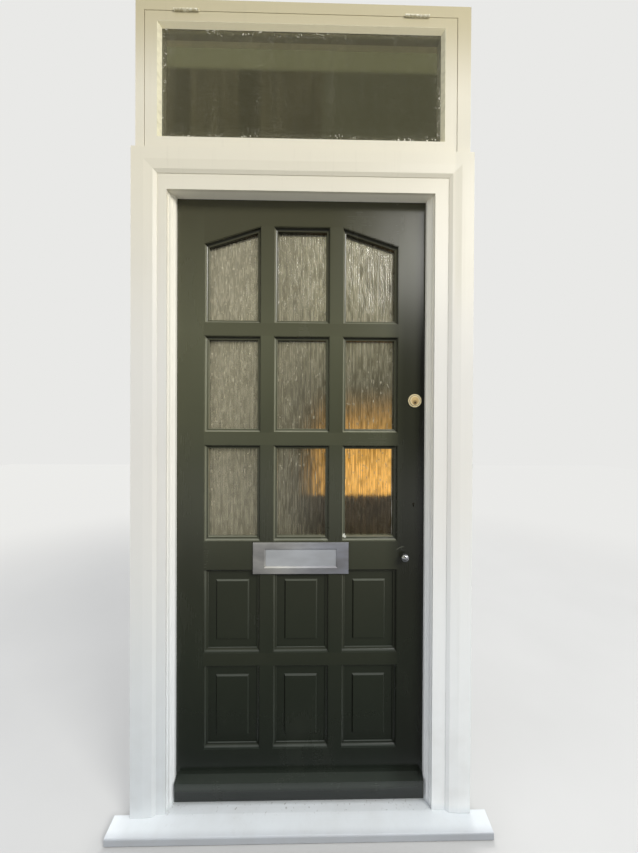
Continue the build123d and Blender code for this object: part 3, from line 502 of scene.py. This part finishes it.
# %% [markdown]
# Metals differ mostly in how finely they are rubbed. The letter plate is aluminium gone dull in the
# weather, so a little of it scatters like paint; the pull knob is bright plating, and the hinges and
# lock cases are plain steel. One function makes them all, because the same clouds, rubbing and pits
# stand for each, in other amounts.

# %% Metal
def metal(name, light, dark, roughness, grain, contrast=0.8, right=None, metallic=1.0):
    """Bare metal: two tones clouded together, rubbed along X, with small pits. Contrast is the share of the
    dark tone in its clouds, and the light tone may be another one on the right, a painted sheen."""
    def build(start):
        pale = mixed(between(axis_of(start, 0), -0.12, 0.14), light, right or light)
        rubbed = noise(start, 1.0, (25.0, 1500.0, 1500.0), 3.0)
        clouds = noise(start, 1.0, (6.0, 16.0, 16.0), 3.0)
        pits = between(noise(start, 420.0, detail=2.0), 0.62, 0.8)
        tone = mixed(between(clouds, 0.3, 0.72) * contrast + pits * 0.2, pale, dark)
        return {"Base Color": tone, "Roughness": clouds * 0.12 + rubbed * grain + pits * 0.2 + roughness,
                "Normal": bumped(rubbed, 0.12, 0.0001, bumped(pits, -0.3, 0.0002))}
    return new_material(name, build, Metallic=metallic)


# Painted sheen: the letter plate and flap are paler and bluer on their right.
satin_metal = metal("satin aluminium", linear(216, 215, 210), linear(150, 148, 150), 0.24, 0.14,
                    contrast=0.9, right=linear(198, 202, 216), metallic=0.87)
flap_metal = metal("flap aluminium", linear(226, 229, 232), linear(186, 188, 191), 0.22, 0.14,
                   contrast=0.7, right=linear(218, 222, 230), metallic=0.70)
bright_metal = metal("bright plating", linear(196, 198, 202), linear(168, 170, 176), 0.05, 0.04)
brass = metal("worn brass", linear(240, 224, 182), linear(206, 180, 128), 0.30, 0.12)
steel = metal("dull steel", linear(146, 146, 148), linear(112, 110, 108), 0.34, 0.14)
print("metals", [made.name for made in (satin_metal, flap_metal, bright_metal, brass, steel)])

# %% [markdown]
# The lock's cylinder has lost part of its lacquer. It is round, so its wear and the painted shade in its
# groove are too: every pattern on it reads only how far a place is from its axis.

# %% Cylinder and plug
def cylinder_brass():
    """The lock cylinder's face: cream where the lacquer holds, tan where keys rub, and painted shade in the
    groove between the rose and the boss."""
    centre = middle_of("rim_cylinder")

    def build(start):
        radius = round_from(start, centre)
        cloudy = noise(start, 160.0, detail=3.0)
        rubbed = mixed(between(radius, 0.0150, 0.0105), linear(254, 238, 190), linear(228, 198, 140))
        # Painted shade in the groove round the boss.
        groove = between(radius, 0.0150, 0.0162) * between(radius, 0.0184, 0.0170)
        tone = mixed(groove * 0.75 + cloudy * 0.15, rubbed, linear(116, 88, 56))
        return {"Base Color": tone, "Roughness": groove * 0.3 + cloudy * 0.14 + 0.28}
    return new_material("cylinder brass", build, Metallic=0.45)


def plug_brass():
    """The plug: tan, and dark round the keyway as painted shade of the hole."""
    centre = middle_of("cylinder_plug")

    def build(start):
        # Painted shade: a dark disc round the keyway.
        worn = between(round_from(start, centre), 0.0036, 0.0022)
        tone = mixed(worn, linear(196, 166, 116), linear(30, 22, 14))
        return {"Base Color": tone, "Roughness": worn * 0.5 + 0.3, "Metallic": 0.85 - worn * 0.85}
    return new_material("plug brass", build)


face_brass, key_brass = cylinder_brass(), plug_brass()
print("lock", face_brass.name, "and", key_brass.name)

# %% [markdown]
# Both kinds of glass in this door have something on them or in them that stops part of the light: dust
# and specks on the fanlight, milky runnels in the panes. Clear glass and an opaque coat are therefore
# two surfaces, and a share chooses between them from place to place.

# %% A coat on glass
def coated_glass(name, glass, film, share, glass_constants, film_constants):
    """Glass with a film over it: a Mix Shader, led by share, between clear glass and an opaque coat."""
    material = bpy.data.materials.new(name)
    material.use_nodes = True
    tree = material.node_tree
    start = Signal(tree)
    coats = [tree.nodes["Principled BSDF"], tree.nodes.new("ShaderNodeBsdfPrincipled")]
    for coat, build, constants in zip(coats, (glass, film), (glass_constants, film_constants)):
        for socket, value in constants.items():
            coat.inputs[socket.replace("_", " ")].default_value = value
        for socket, signal in build(start).items():
            tree.links.new(signal.socket, coat.inputs[socket])
    blend = start.node("ShaderNodeMixShader", inputs={0: share(start)})
    for number, coat in enumerate(coats):
        tree.links.new(coat.outputs[0], blend.socket.node.inputs[number + 1])
    tree.links.new(blend.socket, tree.nodes["Material Output"].inputs[0])
    return material


# %% [markdown]
# The fanlight is plain window glass. It is cleaned in the middle and never along the edges, so dust and
# specks of old paint crowd there, and the distance from the nearest edge leads both.

# %% Window glass
light_low, light_high = (np.array(corner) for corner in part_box("fan_putty"))
putty_cover = 0.010


def edge_distance(start):
    """How far a place on the fanlight's glass is from the nearest edge of the putty, in metres."""
    across, up = axis_of(start, 0), axis_of(start, 2)
    sides = [across - (light_low[0] + putty_cover), (light_high[0] - putty_cover) - across,
             up - (light_low[2] + putty_cover), (light_high[2] - putty_cover) - up]
    nearest = sides[0]
    for side in sides[1:]:
        nearest = nearest.maths("MINIMUM", nearest, side)
    return nearest


def window_glass_tone(start):
    """The glass itself: a little green, a little dull."""
    film = noise(start, 6.0, (1.0, 1.0, 0.4), 6.0)
    return {"Base Color": mixed(film, linear(214, 216, 202), linear(186, 187, 168)),
            "Roughness": film * 0.05 + 0.01}


def glass_specks(start):
    """Small specks of paint and putty, a few millimetres across."""
    return between(noise(start, 190.0, detail=1.0), 0.6, 0.68)


def window_film_tone(start):
    """What lies on the glass: pale specks of paint and putty, and brown dust."""
    return {"Base Color": mixed(glass_specks(start), linear(112, 108, 84), linear(226, 222, 205))}


def window_film_share(start):
    """Dust in soft upright runs, thicker at the foot; specks crowd along the edges."""
    near = between(edge_distance(start), 0.05, 0.0)
    close = between(edge_distance(start), 0.018, 0.0)
    crowd = between(noise(start, 16.0, detail=2.0, slide=(2.0, 0.0, 4.0)), 0.50, 0.68)
    runs = between(noise(start, 1.0, (26.0, 1.0, 3.0), 4.0), 0.45, 0.8)
    wide = noise(start, 2.2, (1.0, 1.0, 2.0), 3.0, (3.0, 0.0, 1.0))
    dust = runs * 0.09 + wide * 0.08 + close * 0.14 + near * 0.05 + 0.01
    total = dust + glass_specks(start) * crowd * (close * 0.9 + near * 0.22)
    return start.maths("MINIMUM", total, 1.0)


clear_glass = coated_glass("window glass", window_glass_tone, window_film_tone, window_film_share,
                           {"Transmission_Weight": 1.0, "IOR": 1.4, "Specular_Tint": (1.0, 0.96, 0.8, 1.0)},
                           {"Roughness": 0.5})
print("fanlight", clear_glass.name, "in putty of", [round(side, 3) for side in light_high - light_low])

# %% [markdown]
# The nine panes of the leaf are rolled with upright runnels, like rain on a window, so that no one can look
# in: they pass light but no picture. The runnels that can be felt are waves in the surface, made further
# down. Between them lie finer lights and darks, glints and shade, which are painted into the glass's tint
# as upright dashes here: noise stretched along Z would do too, but its marks run on without an end.

# %% Runnelled glass
def dashes(start, pitch, reach, low, high, seed):
    """Upright marks in strips side by side. The strips are about a pitch wide, in metres, and in each
    of them the mark comes and goes along its length, about a reach long."""
    sway = noise(start, 45.0, (1.0, 0.0, 0.0), 1.0, (seed, 0.0, 0.0))
    place = axis_of(start, 0) / pitch + sway * 4.0
    strip = start.maths("FLOOR", place)
    hump = start.maths("SINE", (place - strip) * pi)
    along = start.node("ShaderNodeCombineXYZ",
                       inputs={0: strip * 7.31, 1: seed, 2: axis_of(start, 2) / reach})
    mark = start.node("ShaderNodeTexNoise", inputs={"Vector": along, "Scale": 1.0, "Detail": 1.0})
    return between(mark, low, high) * hump


def runnel_glass_tone(start):
    """Rolled glass: upright lights and darks of two sizes between its runnels, painted glints and shade in
    its tint.
    """
    thin = dashes(start, pitch=0.0054, reach=0.05, low=0.36, high=0.62, seed=1.0)
    wide = dashes(start, pitch=0.017, reach=0.12, low=0.3, high=0.7, seed=2.0)
    dark = mixed(wide, linear(172, 169, 152), linear(216, 213, 198))
    return {"Base Color": mixed(thin, dark, linear(250, 248, 240)), "Roughness": wide * 0.08 + 0.08,
            "Normal": bumped(thin, 0.6, 0.0006)}


def runnel_film_tone(start):
    """The milky light that rolled glass scatters."""
    thin = dashes(start, pitch=0.0045, reach=0.03, low=0.45, high=0.65, seed=3.0)
    return {"Base Color": mixed(thin, linear(164, 158, 136), linear(206, 199, 174)),
            "Normal": bumped(thin, 0.3, 0.0005)}


def runnel_film_share(start):
    """More of the milky film towards the upper left, where the pane faces the open, as painted light, with
    painted glints in thin dashes.
    """
    across, up = axis_of(start, 0), axis_of(start, 2)
    painted_light_share = between(across, 0.15, -0.35) * (between(up, 0.9, 1.5) * 0.10 + 0.29)
    painted_light_share = painted_light_share + between(up, 1.1, 1.8) * 0.17
    painted_glints = dashes(start, pitch=0.0048, reach=0.02, low=0.60, high=0.68, seed=4.0)
    return painted_light_share + painted_glints * (between(up, 0.9, 1.15) * 0.35 + 0.10) + 0.01


runnel_glass = coated_glass("runnelled glass", runnel_glass_tone, runnel_film_tone, runnel_film_share,
                            {"Transmission_Weight": 1.0, "IOR": 1.36, "Specular_IOR_Level": 0.25},
                            {"Roughness": 0.35, "Specular_IOR_Level": 0.3})
print("panes", runnel_glass.name)

# %% [markdown]
# Putty is pressed in by hand and painted with the sash, so it is never quite smooth. Its underside, along
# the head of the glass, is painted paler as painted light.

# %% Putty
def putty_coat():
    """Painted putty: lumpy, with a little dirt between its lumps, and paler where it looks down, as painted
    light.
    """
    def build(start):
        lumps = noise(start, 70.0, detail=4.0)
        tone = mixed(between(lumps, 0.35, 0.8), linear(226, 220, 190), linear(206, 199, 170))
        # Painted light: faces that look down take a paler tone.
        tone = mixed(between(facing(start, 2), -0.3, -0.7), tone, linear(250, 240, 204))
        return {"Base Color": tone, "Roughness": lumps * 0.2 + 0.3, "Normal": bumped(lumps, 0.5, 0.001)}
    return new_material("painted putty", build)


putty = putty_coat()
print("putty", putty.name)

# %% [markdown]
# Each solid now gets the coat that its real piece has. A short table of words is enough: what starts
# with one of these names takes that finish. Members that stand upright are brushed upwards.

# %% Finishes on the solids
upright = ("post", "upper_post", "casing_left", "casing_right", "stop_bead", "stile", "fan_stile",
           "glazing_muntins", "panel_muntins", "panels_row")
green_pieces = ("stile", "top_rail", "glazing_rails", "lock_rail", "panel_rail", "bottom_rail",
                "glazing_muntins", "panel_muntins", "pane_mouldings", "glazing_beads", "panels_row",
                "panel_mouldings", "weatherboard")
metal_pieces = {"letter_plate": satin_metal, "letter_flap_pin": steel, "letter_flap": flap_metal,
                "pull_knob": bright_metal, "rim_cylinder": face_brass, "cylinder_plug": key_brass,
                "latch_knob": brass, "stay_arm": brass, "stay_bracket": brass, "stay_pegs": brass,
                "water_bar": brass, "latch_case": steel, "latch_staple": steel, "latch_bolt": brass,
                "lock_case": brass, "dead_bolt": brass, "dead_bolt_keep": brass,
                "door_hinge": steel, "fan_hinge": hinge_paint_and_painted_light}
glass_pieces = {"fan_glass": clear_glass, "panes_row": runnel_glass, "fan_putty": putty}


def finish_of(name):
    """The coat that a node's real piece has."""
    for start, material in {**metal_pieces, **glass_pieces}.items():
        if name.startswith(start):
            return material
    axis = "z" if name.startswith(upright) else "x"
    return (green_paint if name.startswith(green_pieces) else white_paint)[axis]


def give(piece, material):
    """Puts one material on a whole piece."""
    piece.data.materials.clear()
    piece.data.materials.append(material)


for name, node in nodes.items():
    give(node, finish_of(name))
print("finishes", len({node.data.materials[0].name for node in nodes.values()}))

# %% [markdown]
# A surface that follows a formula is quickest as a grid: numpy works out all its points at once, and the
# faces join neighbours by their numbers. Two such grids and a rim round them make a closed slab.

# %% Surfaces as grids
def mesh_of(name, points, faces):
    """A mesh object from arrays of points and of faces, with its place in its mesh."""
    data = bpy.data.meshes.new(name)
    data.from_pydata(points, [], faces)
    data.validate()
    data.shade_smooth()
    piece = bpy.data.objects.new(name, data)
    scene.collection.objects.link(piece)
    return piece


def grid_faces(rows, columns, start=0, flip=False):
    """Quads between neighbouring points of a grid that is stored row by row."""
    row, column = np.meshgrid(np.arange(rows - 1), np.arange(columns - 1), indexing="ij")
    first = start + (row * columns + column).ravel()
    quads = np.stack([first, first + 1, first + columns + 1, first + columns], 1)
    return quads[:, ::-1] if flip else quads


def rim_faces(rows, columns, front, back):
    """Quads that join the edges of two like grids into one closed slab."""
    top, left = np.arange(columns), np.arange(rows) * columns
    loop = np.concatenate([top, left[1:] + columns - 1, (rows - 1) * columns + top[::-1][1:],
                           left[::-1][1:]])
    ahead = loop[1:]
    behind = loop[:-1]
    return np.stack([front + behind, front + ahead, back + ahead, back + behind], 1)


print("a slab of 3 by 4 points has", 2 * len(grid_faces(3, 4)) + len(rim_faces(3, 4, 0, 12)), "faces")

# %% [markdown]
# Rolled glass takes its runnels from a cut roller: upright ridges, up to a millimetre high, that rise
# and sink along their length, in two sizes. A pane is a grid of two parameters, u across it and v up it,
# and its top edge may slope. A bump alone would look flat at the edges of the light behind it.

# %% Runnels
def runnels(u, v, strips, waves, seed):
    """Heights of upright ridges side by side, from 0 to 1. Across the pane each ridge is half a sine
    wave over its own strip, and strips differ a little in width; along it the height is a smooth
    random wave, which joins random values by cosine steps and starts at a random place."""
    random = np.random.default_rng(seed)
    bends = np.sin(2 * np.pi * (u * random.uniform(2, 4) + random.uniform()))
    place = np.clip(u * strips + bends, 0, strips - 1e-6)
    strip = place.astype(int)
    values = random.uniform(0, 1, (strips, waves + 3))
    along = v * waves + random.uniform(0, 1, strips)[strip]
    step = along.astype(int)
    ease = (1 - np.cos(np.pi * (along - step))) / 2
    height = values[strip, step] * (1 - ease) + values[strip, step + 1] * ease
    return height * np.sin(np.pi * (place - strip))


glass_lift = 0.0011
wide_runnels = {"strips": 26, "waves": 5}
fine_runnels = {"strips": 41, "waves": 9}
flat_border = 0.02


def runnelled_pane(corners, front, back, seed, columns=160, rows=84):
    """Closed pane between its corners (x, z): outside face = front + lift - lift x (two sizes of
    runnel, 70 and 30 parts in a hundred), fading out at the edges; inside face flat."""
    (x0, foot), (x1, _), (_, right_top), (_, left_top) = corners
    u, v = np.meshgrid(np.linspace(0, 1, columns), np.linspace(0, 1, rows))
    x = x0 + (x1 - x0) * u
    z = foot + v * (left_top + (right_top - left_top) * u - foot)
    ridges = 0.7 * runnels(u, v, seed=seed + 2, **wide_runnels)
    ridges = ridges + 0.3 * runnels(u, v, seed=seed + 3, **fine_runnels)
    edge = np.minimum.reduce([u, 1 - u, v, 1 - v])
    fade = np.clip(edge / flat_border, 0, 1)
    y = front + glass_lift * (1 - ridges) * fade
    outside = np.stack([x, y, z], -1).reshape(-1, 3)
    inside = np.stack([x, np.full_like(x, back), z], -1).reshape(-1, 3)
    count = rows * columns
    faces = np.concatenate([grid_faces(rows, columns), grid_faces(rows, columns, count, True),
                            rim_faces(rows, columns, 0, count)])
    return np.concatenate([outside, inside]), faces


print("runnels are", glass_lift * 1000, "mm deep")

# %% [markdown]
# Each pane's corners are read from its solid: the points of one loose piece of the node give its
# width, its foot, and how high each top corner reaches.

# %% Runnelled panes
def pane_corners(points):
    """(x, z) corners of a pane from its solid's points: foot left and right, top right and left."""
    x0, x1 = points[:, 0].min(), points[:, 0].max()
    foot = points[:, 2].min()
    tops = [points[np.isclose(points[:, 0], x, atol=1e-4), 2].max() for x in (x1, x0)]
    return [(x0, foot), (x1, foot), (x1, tops[0]), (x0, tops[1])]


def solid_points(node):
    """The points of a node as one array."""
    points = np.empty(len(node.data.vertices) * 3, np.float32)
    node.data.vertices.foreach_get("co", points)
    return points.reshape(-1, 3).astype(float)


def pane_row(row, columns=3):
    """The three panes of a row as one piece, in place of its node."""
    name = f"panes_row_{row}"
    points = solid_points(nodes[name])
    edges = np.linspace(points[:, 0].min(), points[:, 0].max(), columns + 1)
    places, faces, count = [], [], 0
    for column in range(columns):
        inside = (points[:, 0] >= edges[column] - 1e-4) & (points[:, 0] <= edges[column + 1] + 1e-4)
        own = points[inside]
        pane, quads = runnelled_pane(pane_corners(own), own[:, 1].min(), own[:, 1].max(),
                                     100 * row + 10 * column)
        places.append(pane)
        faces.append(quads + count)
        count += len(pane)
    piece = mesh_of(f"runnelled_{name}", np.concatenate(places), np.concatenate(faces).tolist())
    give(piece, runnel_glass)
    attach(piece, "door")
    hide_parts(name)
    return piece


pane_pieces = [pane_row(row) for row in (1, 2, 3)]
print("panes", [len(piece.data.polygons) for piece in pane_pieces])

# %% [markdown]
# The two knobs were turned on a lathe, so each is one curve spun about its axis. A formula for the whole
# ring of points is as short as a Spin and leaves no doubles to merge.

# %% Turned pieces
ring_points = 64


def turned(name, profile, centre, sides=ring_points):
    """A closed piece about an axis along Y. The profile is rows of (y, radius) from end to end; the
    angle a runs once round, with x = centre + radius cos a and z = centre + radius sin a."""
    turn = np.linspace(0, 2 * np.pi, sides, endpoint=False)
    y, radius = profile[:, :1], profile[:, 1:]
    rings = np.stack([centre[0] + radius * np.cos(turn), np.repeat(y, sides, 1),
                      centre[1] + radius * np.sin(turn)], -1).reshape(-1, 3)
    row, step = np.meshgrid(np.arange(len(profile) - 1), np.arange(sides), indexing="ij")
    first, beside = (row * sides + step).ravel(), (row * sides + (step + 1) % sides).ravel()
    faces = np.stack([first, beside, beside + sides, first + sides], 1).tolist()
    last = (len(profile) - 1) * sides
    faces += [list(range(sides))[::-1], list(range(last, last + sides))]
    if profile[-1, 0] > profile[0, 0]:
        faces = [face[::-1] for face in faces]
    return mesh_of(name, rings, faces)


print("rings of", ring_points, "points")

# %% [markdown]
# A knob's curve starts at the rose, narrows to a neck, and swells into an oval head. It fills the box of
# the solid that it stands in for, so both knobs keep their size and their place.

# %% Knobs
foot_share, crown_share, neck_share = 0.36, 0.34, 0.42
hair = 0.0001


def knob_curve(rose, end, neck, head):
    """(y, radius) rows of a knob from its rose to its end. The neck's radius falls from 1.25 to 1 neck
    and rises again as a square; the head is an oval whose radius = head x cosine of an angle that
    runs from 50 degrees before its middle to almost 90 degrees after it."""
    length = end - rose
    share = np.linspace(0, 1, 18)
    foot = np.stack([rose + foot_share * length * share, neck * (1 + 0.25 * (1 - share) ** 2)], 1)
    angle = np.radians(np.linspace(-50, 88, 40))
    middle = end - crown_share * length
    crown = np.stack([middle + crown_share * length * np.sin(angle), head * np.cos(angle)], 1)
    return np.concatenate([foot, crown])


def turned_knob(name, body, material, outwards, spindle=None):
    """A knob in place of its node, between the ends of the node's own box. A spindle, given by its
    length and radius, comes before the rose, which then stands a hair off the case it turns on."""
    low, high = (np.array(corner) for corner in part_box(name))
    rose, end = (high[1], low[1]) if outwards else (low[1], high[1])
    head = (high[0] - low[0]) / 2
    if spindle is None:
        profile = knob_curve(rose, end, neck_share * head, head)
    else:
        length, radius = spindle
        length += hair
        stem = [(rose, radius), (rose + length, radius)]
        profile = np.concatenate([stem, knob_curve(rose + length, end, neck_share * head, head)])
    piece = turned("turned_" + name, profile, ((low + high) / 2)[[0, 2]])
    give(piece, material)
    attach(piece, body)
    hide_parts(name)
    return piece


knobs = [turned_knob("pull_knob", "door", bright_metal, True),
         turned_knob("latch_knob", "latch_knob", brass, False, (0.005, 0.004))]
print("knobs", {knob.name: len(knob.data.polygons) for knob in knobs})

# %% [markdown]
# The stage is a pale floor that fades into a pale surround, so that no horizon shows. The fade is only
# for what the camera, gloss or a pane sees: the light that falls on the door stays plain. The light it
# throws back up, and what gloss sees of it close by, are darker than it looks, as from paving in a
# yard, or else the undersides of the mouldings and the foot of the leaf would look dusty.

# %% Floor
surround_tone = linear(233, 233, 231)
floor_reach = 9.0
fade_start, fade_end = 1.6, 4.5


def plain_card(name, corners, build, **constants):
    """A flat stage card between four corners."""
    card = mesh_of(name, corners, [(0, 1, 2, 3)])
    give(card, new_material(name, build, **constants))
    return card


def ray_share(start, *kinds):
    """1 for a ray of one of the kinds, such as Camera, Glossy or Transmission, and 0 for others."""
    shares = [start.node("ShaderNodeLightPath", output=f"Is {kind} Ray") for kind in kinds]
    return start.maths("MINIMUM", sum(shares[1:], shares[0]), 1.0)


def floor_coat(start):
    """Pale floor, hardly mottled, that turns into the surround far away."""
    across, along = axis_of(start, 0), axis_of(start, 1)
    distance = start.maths("SQRT", across * across + along * along)
    fade = between(distance, fade_start, fade_end) * ray_share(start, "Camera", "Glossy", "Transmission")
    mottled = mixed(noise(start, 2.0, detail=3.0), linear(186, 186, 184), linear(193, 193, 191))
    near = between(distance, 5.5, 1.5) * ray_share(start, "Glossy")
    paving = near * 0.85 + ray_share(start, "Diffuse") * 0.45
    tone = mixed(paving, mottled, linear(52, 52, 48))
    black = (0.0, 0.0, 0.0, 1.0)
    return {"Base Color": mixed(fade, tone, black), "Emission Color": mixed(fade, black, surround_tone)}


plain_card("floor", [(-floor_reach, -floor_reach, 0), (floor_reach, -floor_reach, 0),
                     (floor_reach, floor_reach, 0), (-floor_reach, floor_reach, 0)], floor_coat,
           Roughness=0.8, Specular_IOR_Level=0.2, Emission_Strength=1.0)
print("floor", 2 * floor_reach, "m across, fading from", fade_start, "to", fade_end, "m")

# %% [markdown]
# Glass needs something behind it. A card indoors, which only rays through glass can see, stands for the
# dim room: olive grey above, paler to the left, nearly black low on the right, and one warm lamp whose
# light ends in a straight line at the height of a table top.

# %% Room behind the glass
room_depth = 1.4
lamp_left, lamp_foot, lamp_top = 0.12, 0.71, 1.29


def room_coat(start):
    """Dim room as a sum of soft steps in two directions, with the warm lamp low on the right and, as
    high as the fanlight shows, a curtain in folds, plain plaster and a paler ceiling."""
    across, up = axis_of(start, 0), axis_of(start, 2)
    dim = mixed(between(up, 0.8, 2.6), linear(136, 133, 115), linear(184, 180, 154))
    dim = mixed(between(across, 0.2, 0.7) * between(up, 1.9, 2.2) * 0.75, dim, linear(122, 118, 98))
    shade = between(across, -0.5, 0.15) * between(up, 2.2, 0.8)
    dim = mixed(shade, dim, linear(38, 32, 20))
    slats = between(noise(start, 1.0, (9.0, 1.0, 1.1), 3.0, (2.0, 0.0, 5.0)), 0.35, 0.7)
    dim = mixed(slats * 0.5, dim, linear(60, 58, 46))
    folds = between(noise(start, 1.0, (11.0, 1.0, 0.7), 4.0, (7.0, 0.0, 2.0)), 0.35, 0.75)
    curtain = mixed(folds, linear(60, 56, 36), linear(88, 82, 60))
    plaster = mixed(between(across, 0.06, 0.12), curtain, linear(82, 80, 60))
    high = mixed(between(up, 3.78, 3.82), plaster, linear(122, 120, 92))
    dim = mixed(between(up, 2.9, 3.0), dim, high)
    dim = mixed(between(up, 0.78, 0.66) * between(across, -0.1, 0.3), dim, linear(50, 38, 10))
    lit = between(across, lamp_left - 0.2, lamp_left + 0.16) * between(across, 1.0, 0.7)
    lit = lit * between(up, lamp_foot - 0.012, lamp_foot + 0.012)
    lit = lit * between(up, lamp_top + 0.26, lamp_top - 0.44)
    flame = noise(start, 7.0, detail=2.0, slide=(1.0, 0.0, 3.0))
    glow = mixed(flame, linear(268, 194, 84), linear(268, 214, 124))
    return {"Emission Color": mixed(lit, dim, glow)}


room = plain_card("room", [(-3, room_depth, -1), (3, room_depth, -1), (3, room_depth, 6),
                           (-3, room_depth, 6)], room_coat, Emission_Strength=1.0,
                  Base_Color=(0, 0, 0, 1), Specular_IOR_Level=0.0)
room.visible_camera = False
room.visible_diffuse = False
room.visible_glossy = False
room.visible_shadow = False
print("room", room_depth, "m behind the frame's face")

# %% [markdown]
# One large soft lamp stands high in front and to the right, which puts the thin shadow under the head
# and down the right edge of the leaf. A second one in front lays the sheen on the leaf's upper right.
# A lower one on each side reaches into the rebates, which would else go grey, and one indoors lights
# the back. Gloss doesn't see the two that would mirror as hard squares.

# %% Lamps
def soft_lamp(name, place, aim, size, power, colour):
    """A square soft light that faces a point."""
    data = bpy.data.lights.new(name, "AREA")
    data.size = size
    data.energy = power
    data.color = colour
    lamp = bpy.data.objects.new(name, data)
    scene.collection.objects.link(lamp)
    lamp.location = place
    lamp.rotation_euler = (Vector(aim) - Vector(place)).to_track_quat("-Z", "Y").to_euler()
    return lamp


key = soft_lamp("key", (4.0, -4.4, 4.8), (0, 0, 1.2), 2.2, 290, (1.0, 0.985, 0.95))
sheen = soft_lamp("sheen", (1.65, -3.9, 3.8), (0, 0, 1.5), 1.3, 30, (1.0, 0.99, 0.98))
side = soft_lamp("side", (5.4, -1.5, 2.6), (0, 0, 1.2), 2.0, 50, (1.0, 0.98, 0.94))
fill = soft_lamp("fill", (-5.4, -2.3, 2.2), (0, 0, 1.0), 3.0, 76, (0.97, 0.98, 1.0))
indoors = soft_lamp("indoors", (0.8, 3.2, 4.4), (0, 0, 1.2), 2.5, 120, (1.0, 0.98, 0.95))
for lamp in (fill, indoors):
    lamp.visible_glossy = False
print("watts", {lamp.name: lamp.data.energy for lamp in (key, sheen, side, fill, indoors)})

# %% [markdown]
# The surround lights everything a little, most from overhead, as the sky over a narrow yard would.
# What gloss sees of it is another matter: pale to the left and dim to the right, so that the paint's
# sheen falls off across the leaf. To the camera and behind glass it is one plain pale tone.

# %% Surround
def sky_light(start):
    """Soft light: dim from the sides, bright from overhead."""
    return mixed(between(axis_of(start, 2), 0.3, 0.95), linear(96, 98, 102), linear(276, 279, 286))


def sky_in_gloss(start):
    """What gloss sees: pale to the left, dim to the right, bright overhead."""
    across, up = axis_of(start, 0), axis_of(start, 2)
    sides = mixed(between(across, -0.45, 0.25), linear(196, 193, 174), linear(52, 51, 46))
    return mixed(between(up, 0.8, 0.93), sides, linear(270, 270, 264))


def surround():
    """A pale world, which is one plain tone to the camera and behind glass."""
    world = bpy.data.worlds.new("surround")
    world.use_nodes = True
    scene.world = world
    start = Signal(world.node_tree)
    light = mixed(ray_share(start, "Glossy"), sky_light(start), sky_in_gloss(start))
    tone = mixed(ray_share(start, "Camera", "Transmission"), light, surround_tone)
    world.node_tree.links.new(tone.socket, world.node_tree.nodes["Background"].inputs["Color"])


surround()
scene.view_settings.view_transform = "Standard"
print("world", scene.world.name)

# %% [markdown]
# The box of what shows should be the box of the solids, because the finer panes and knobs stay inside
# theirs.
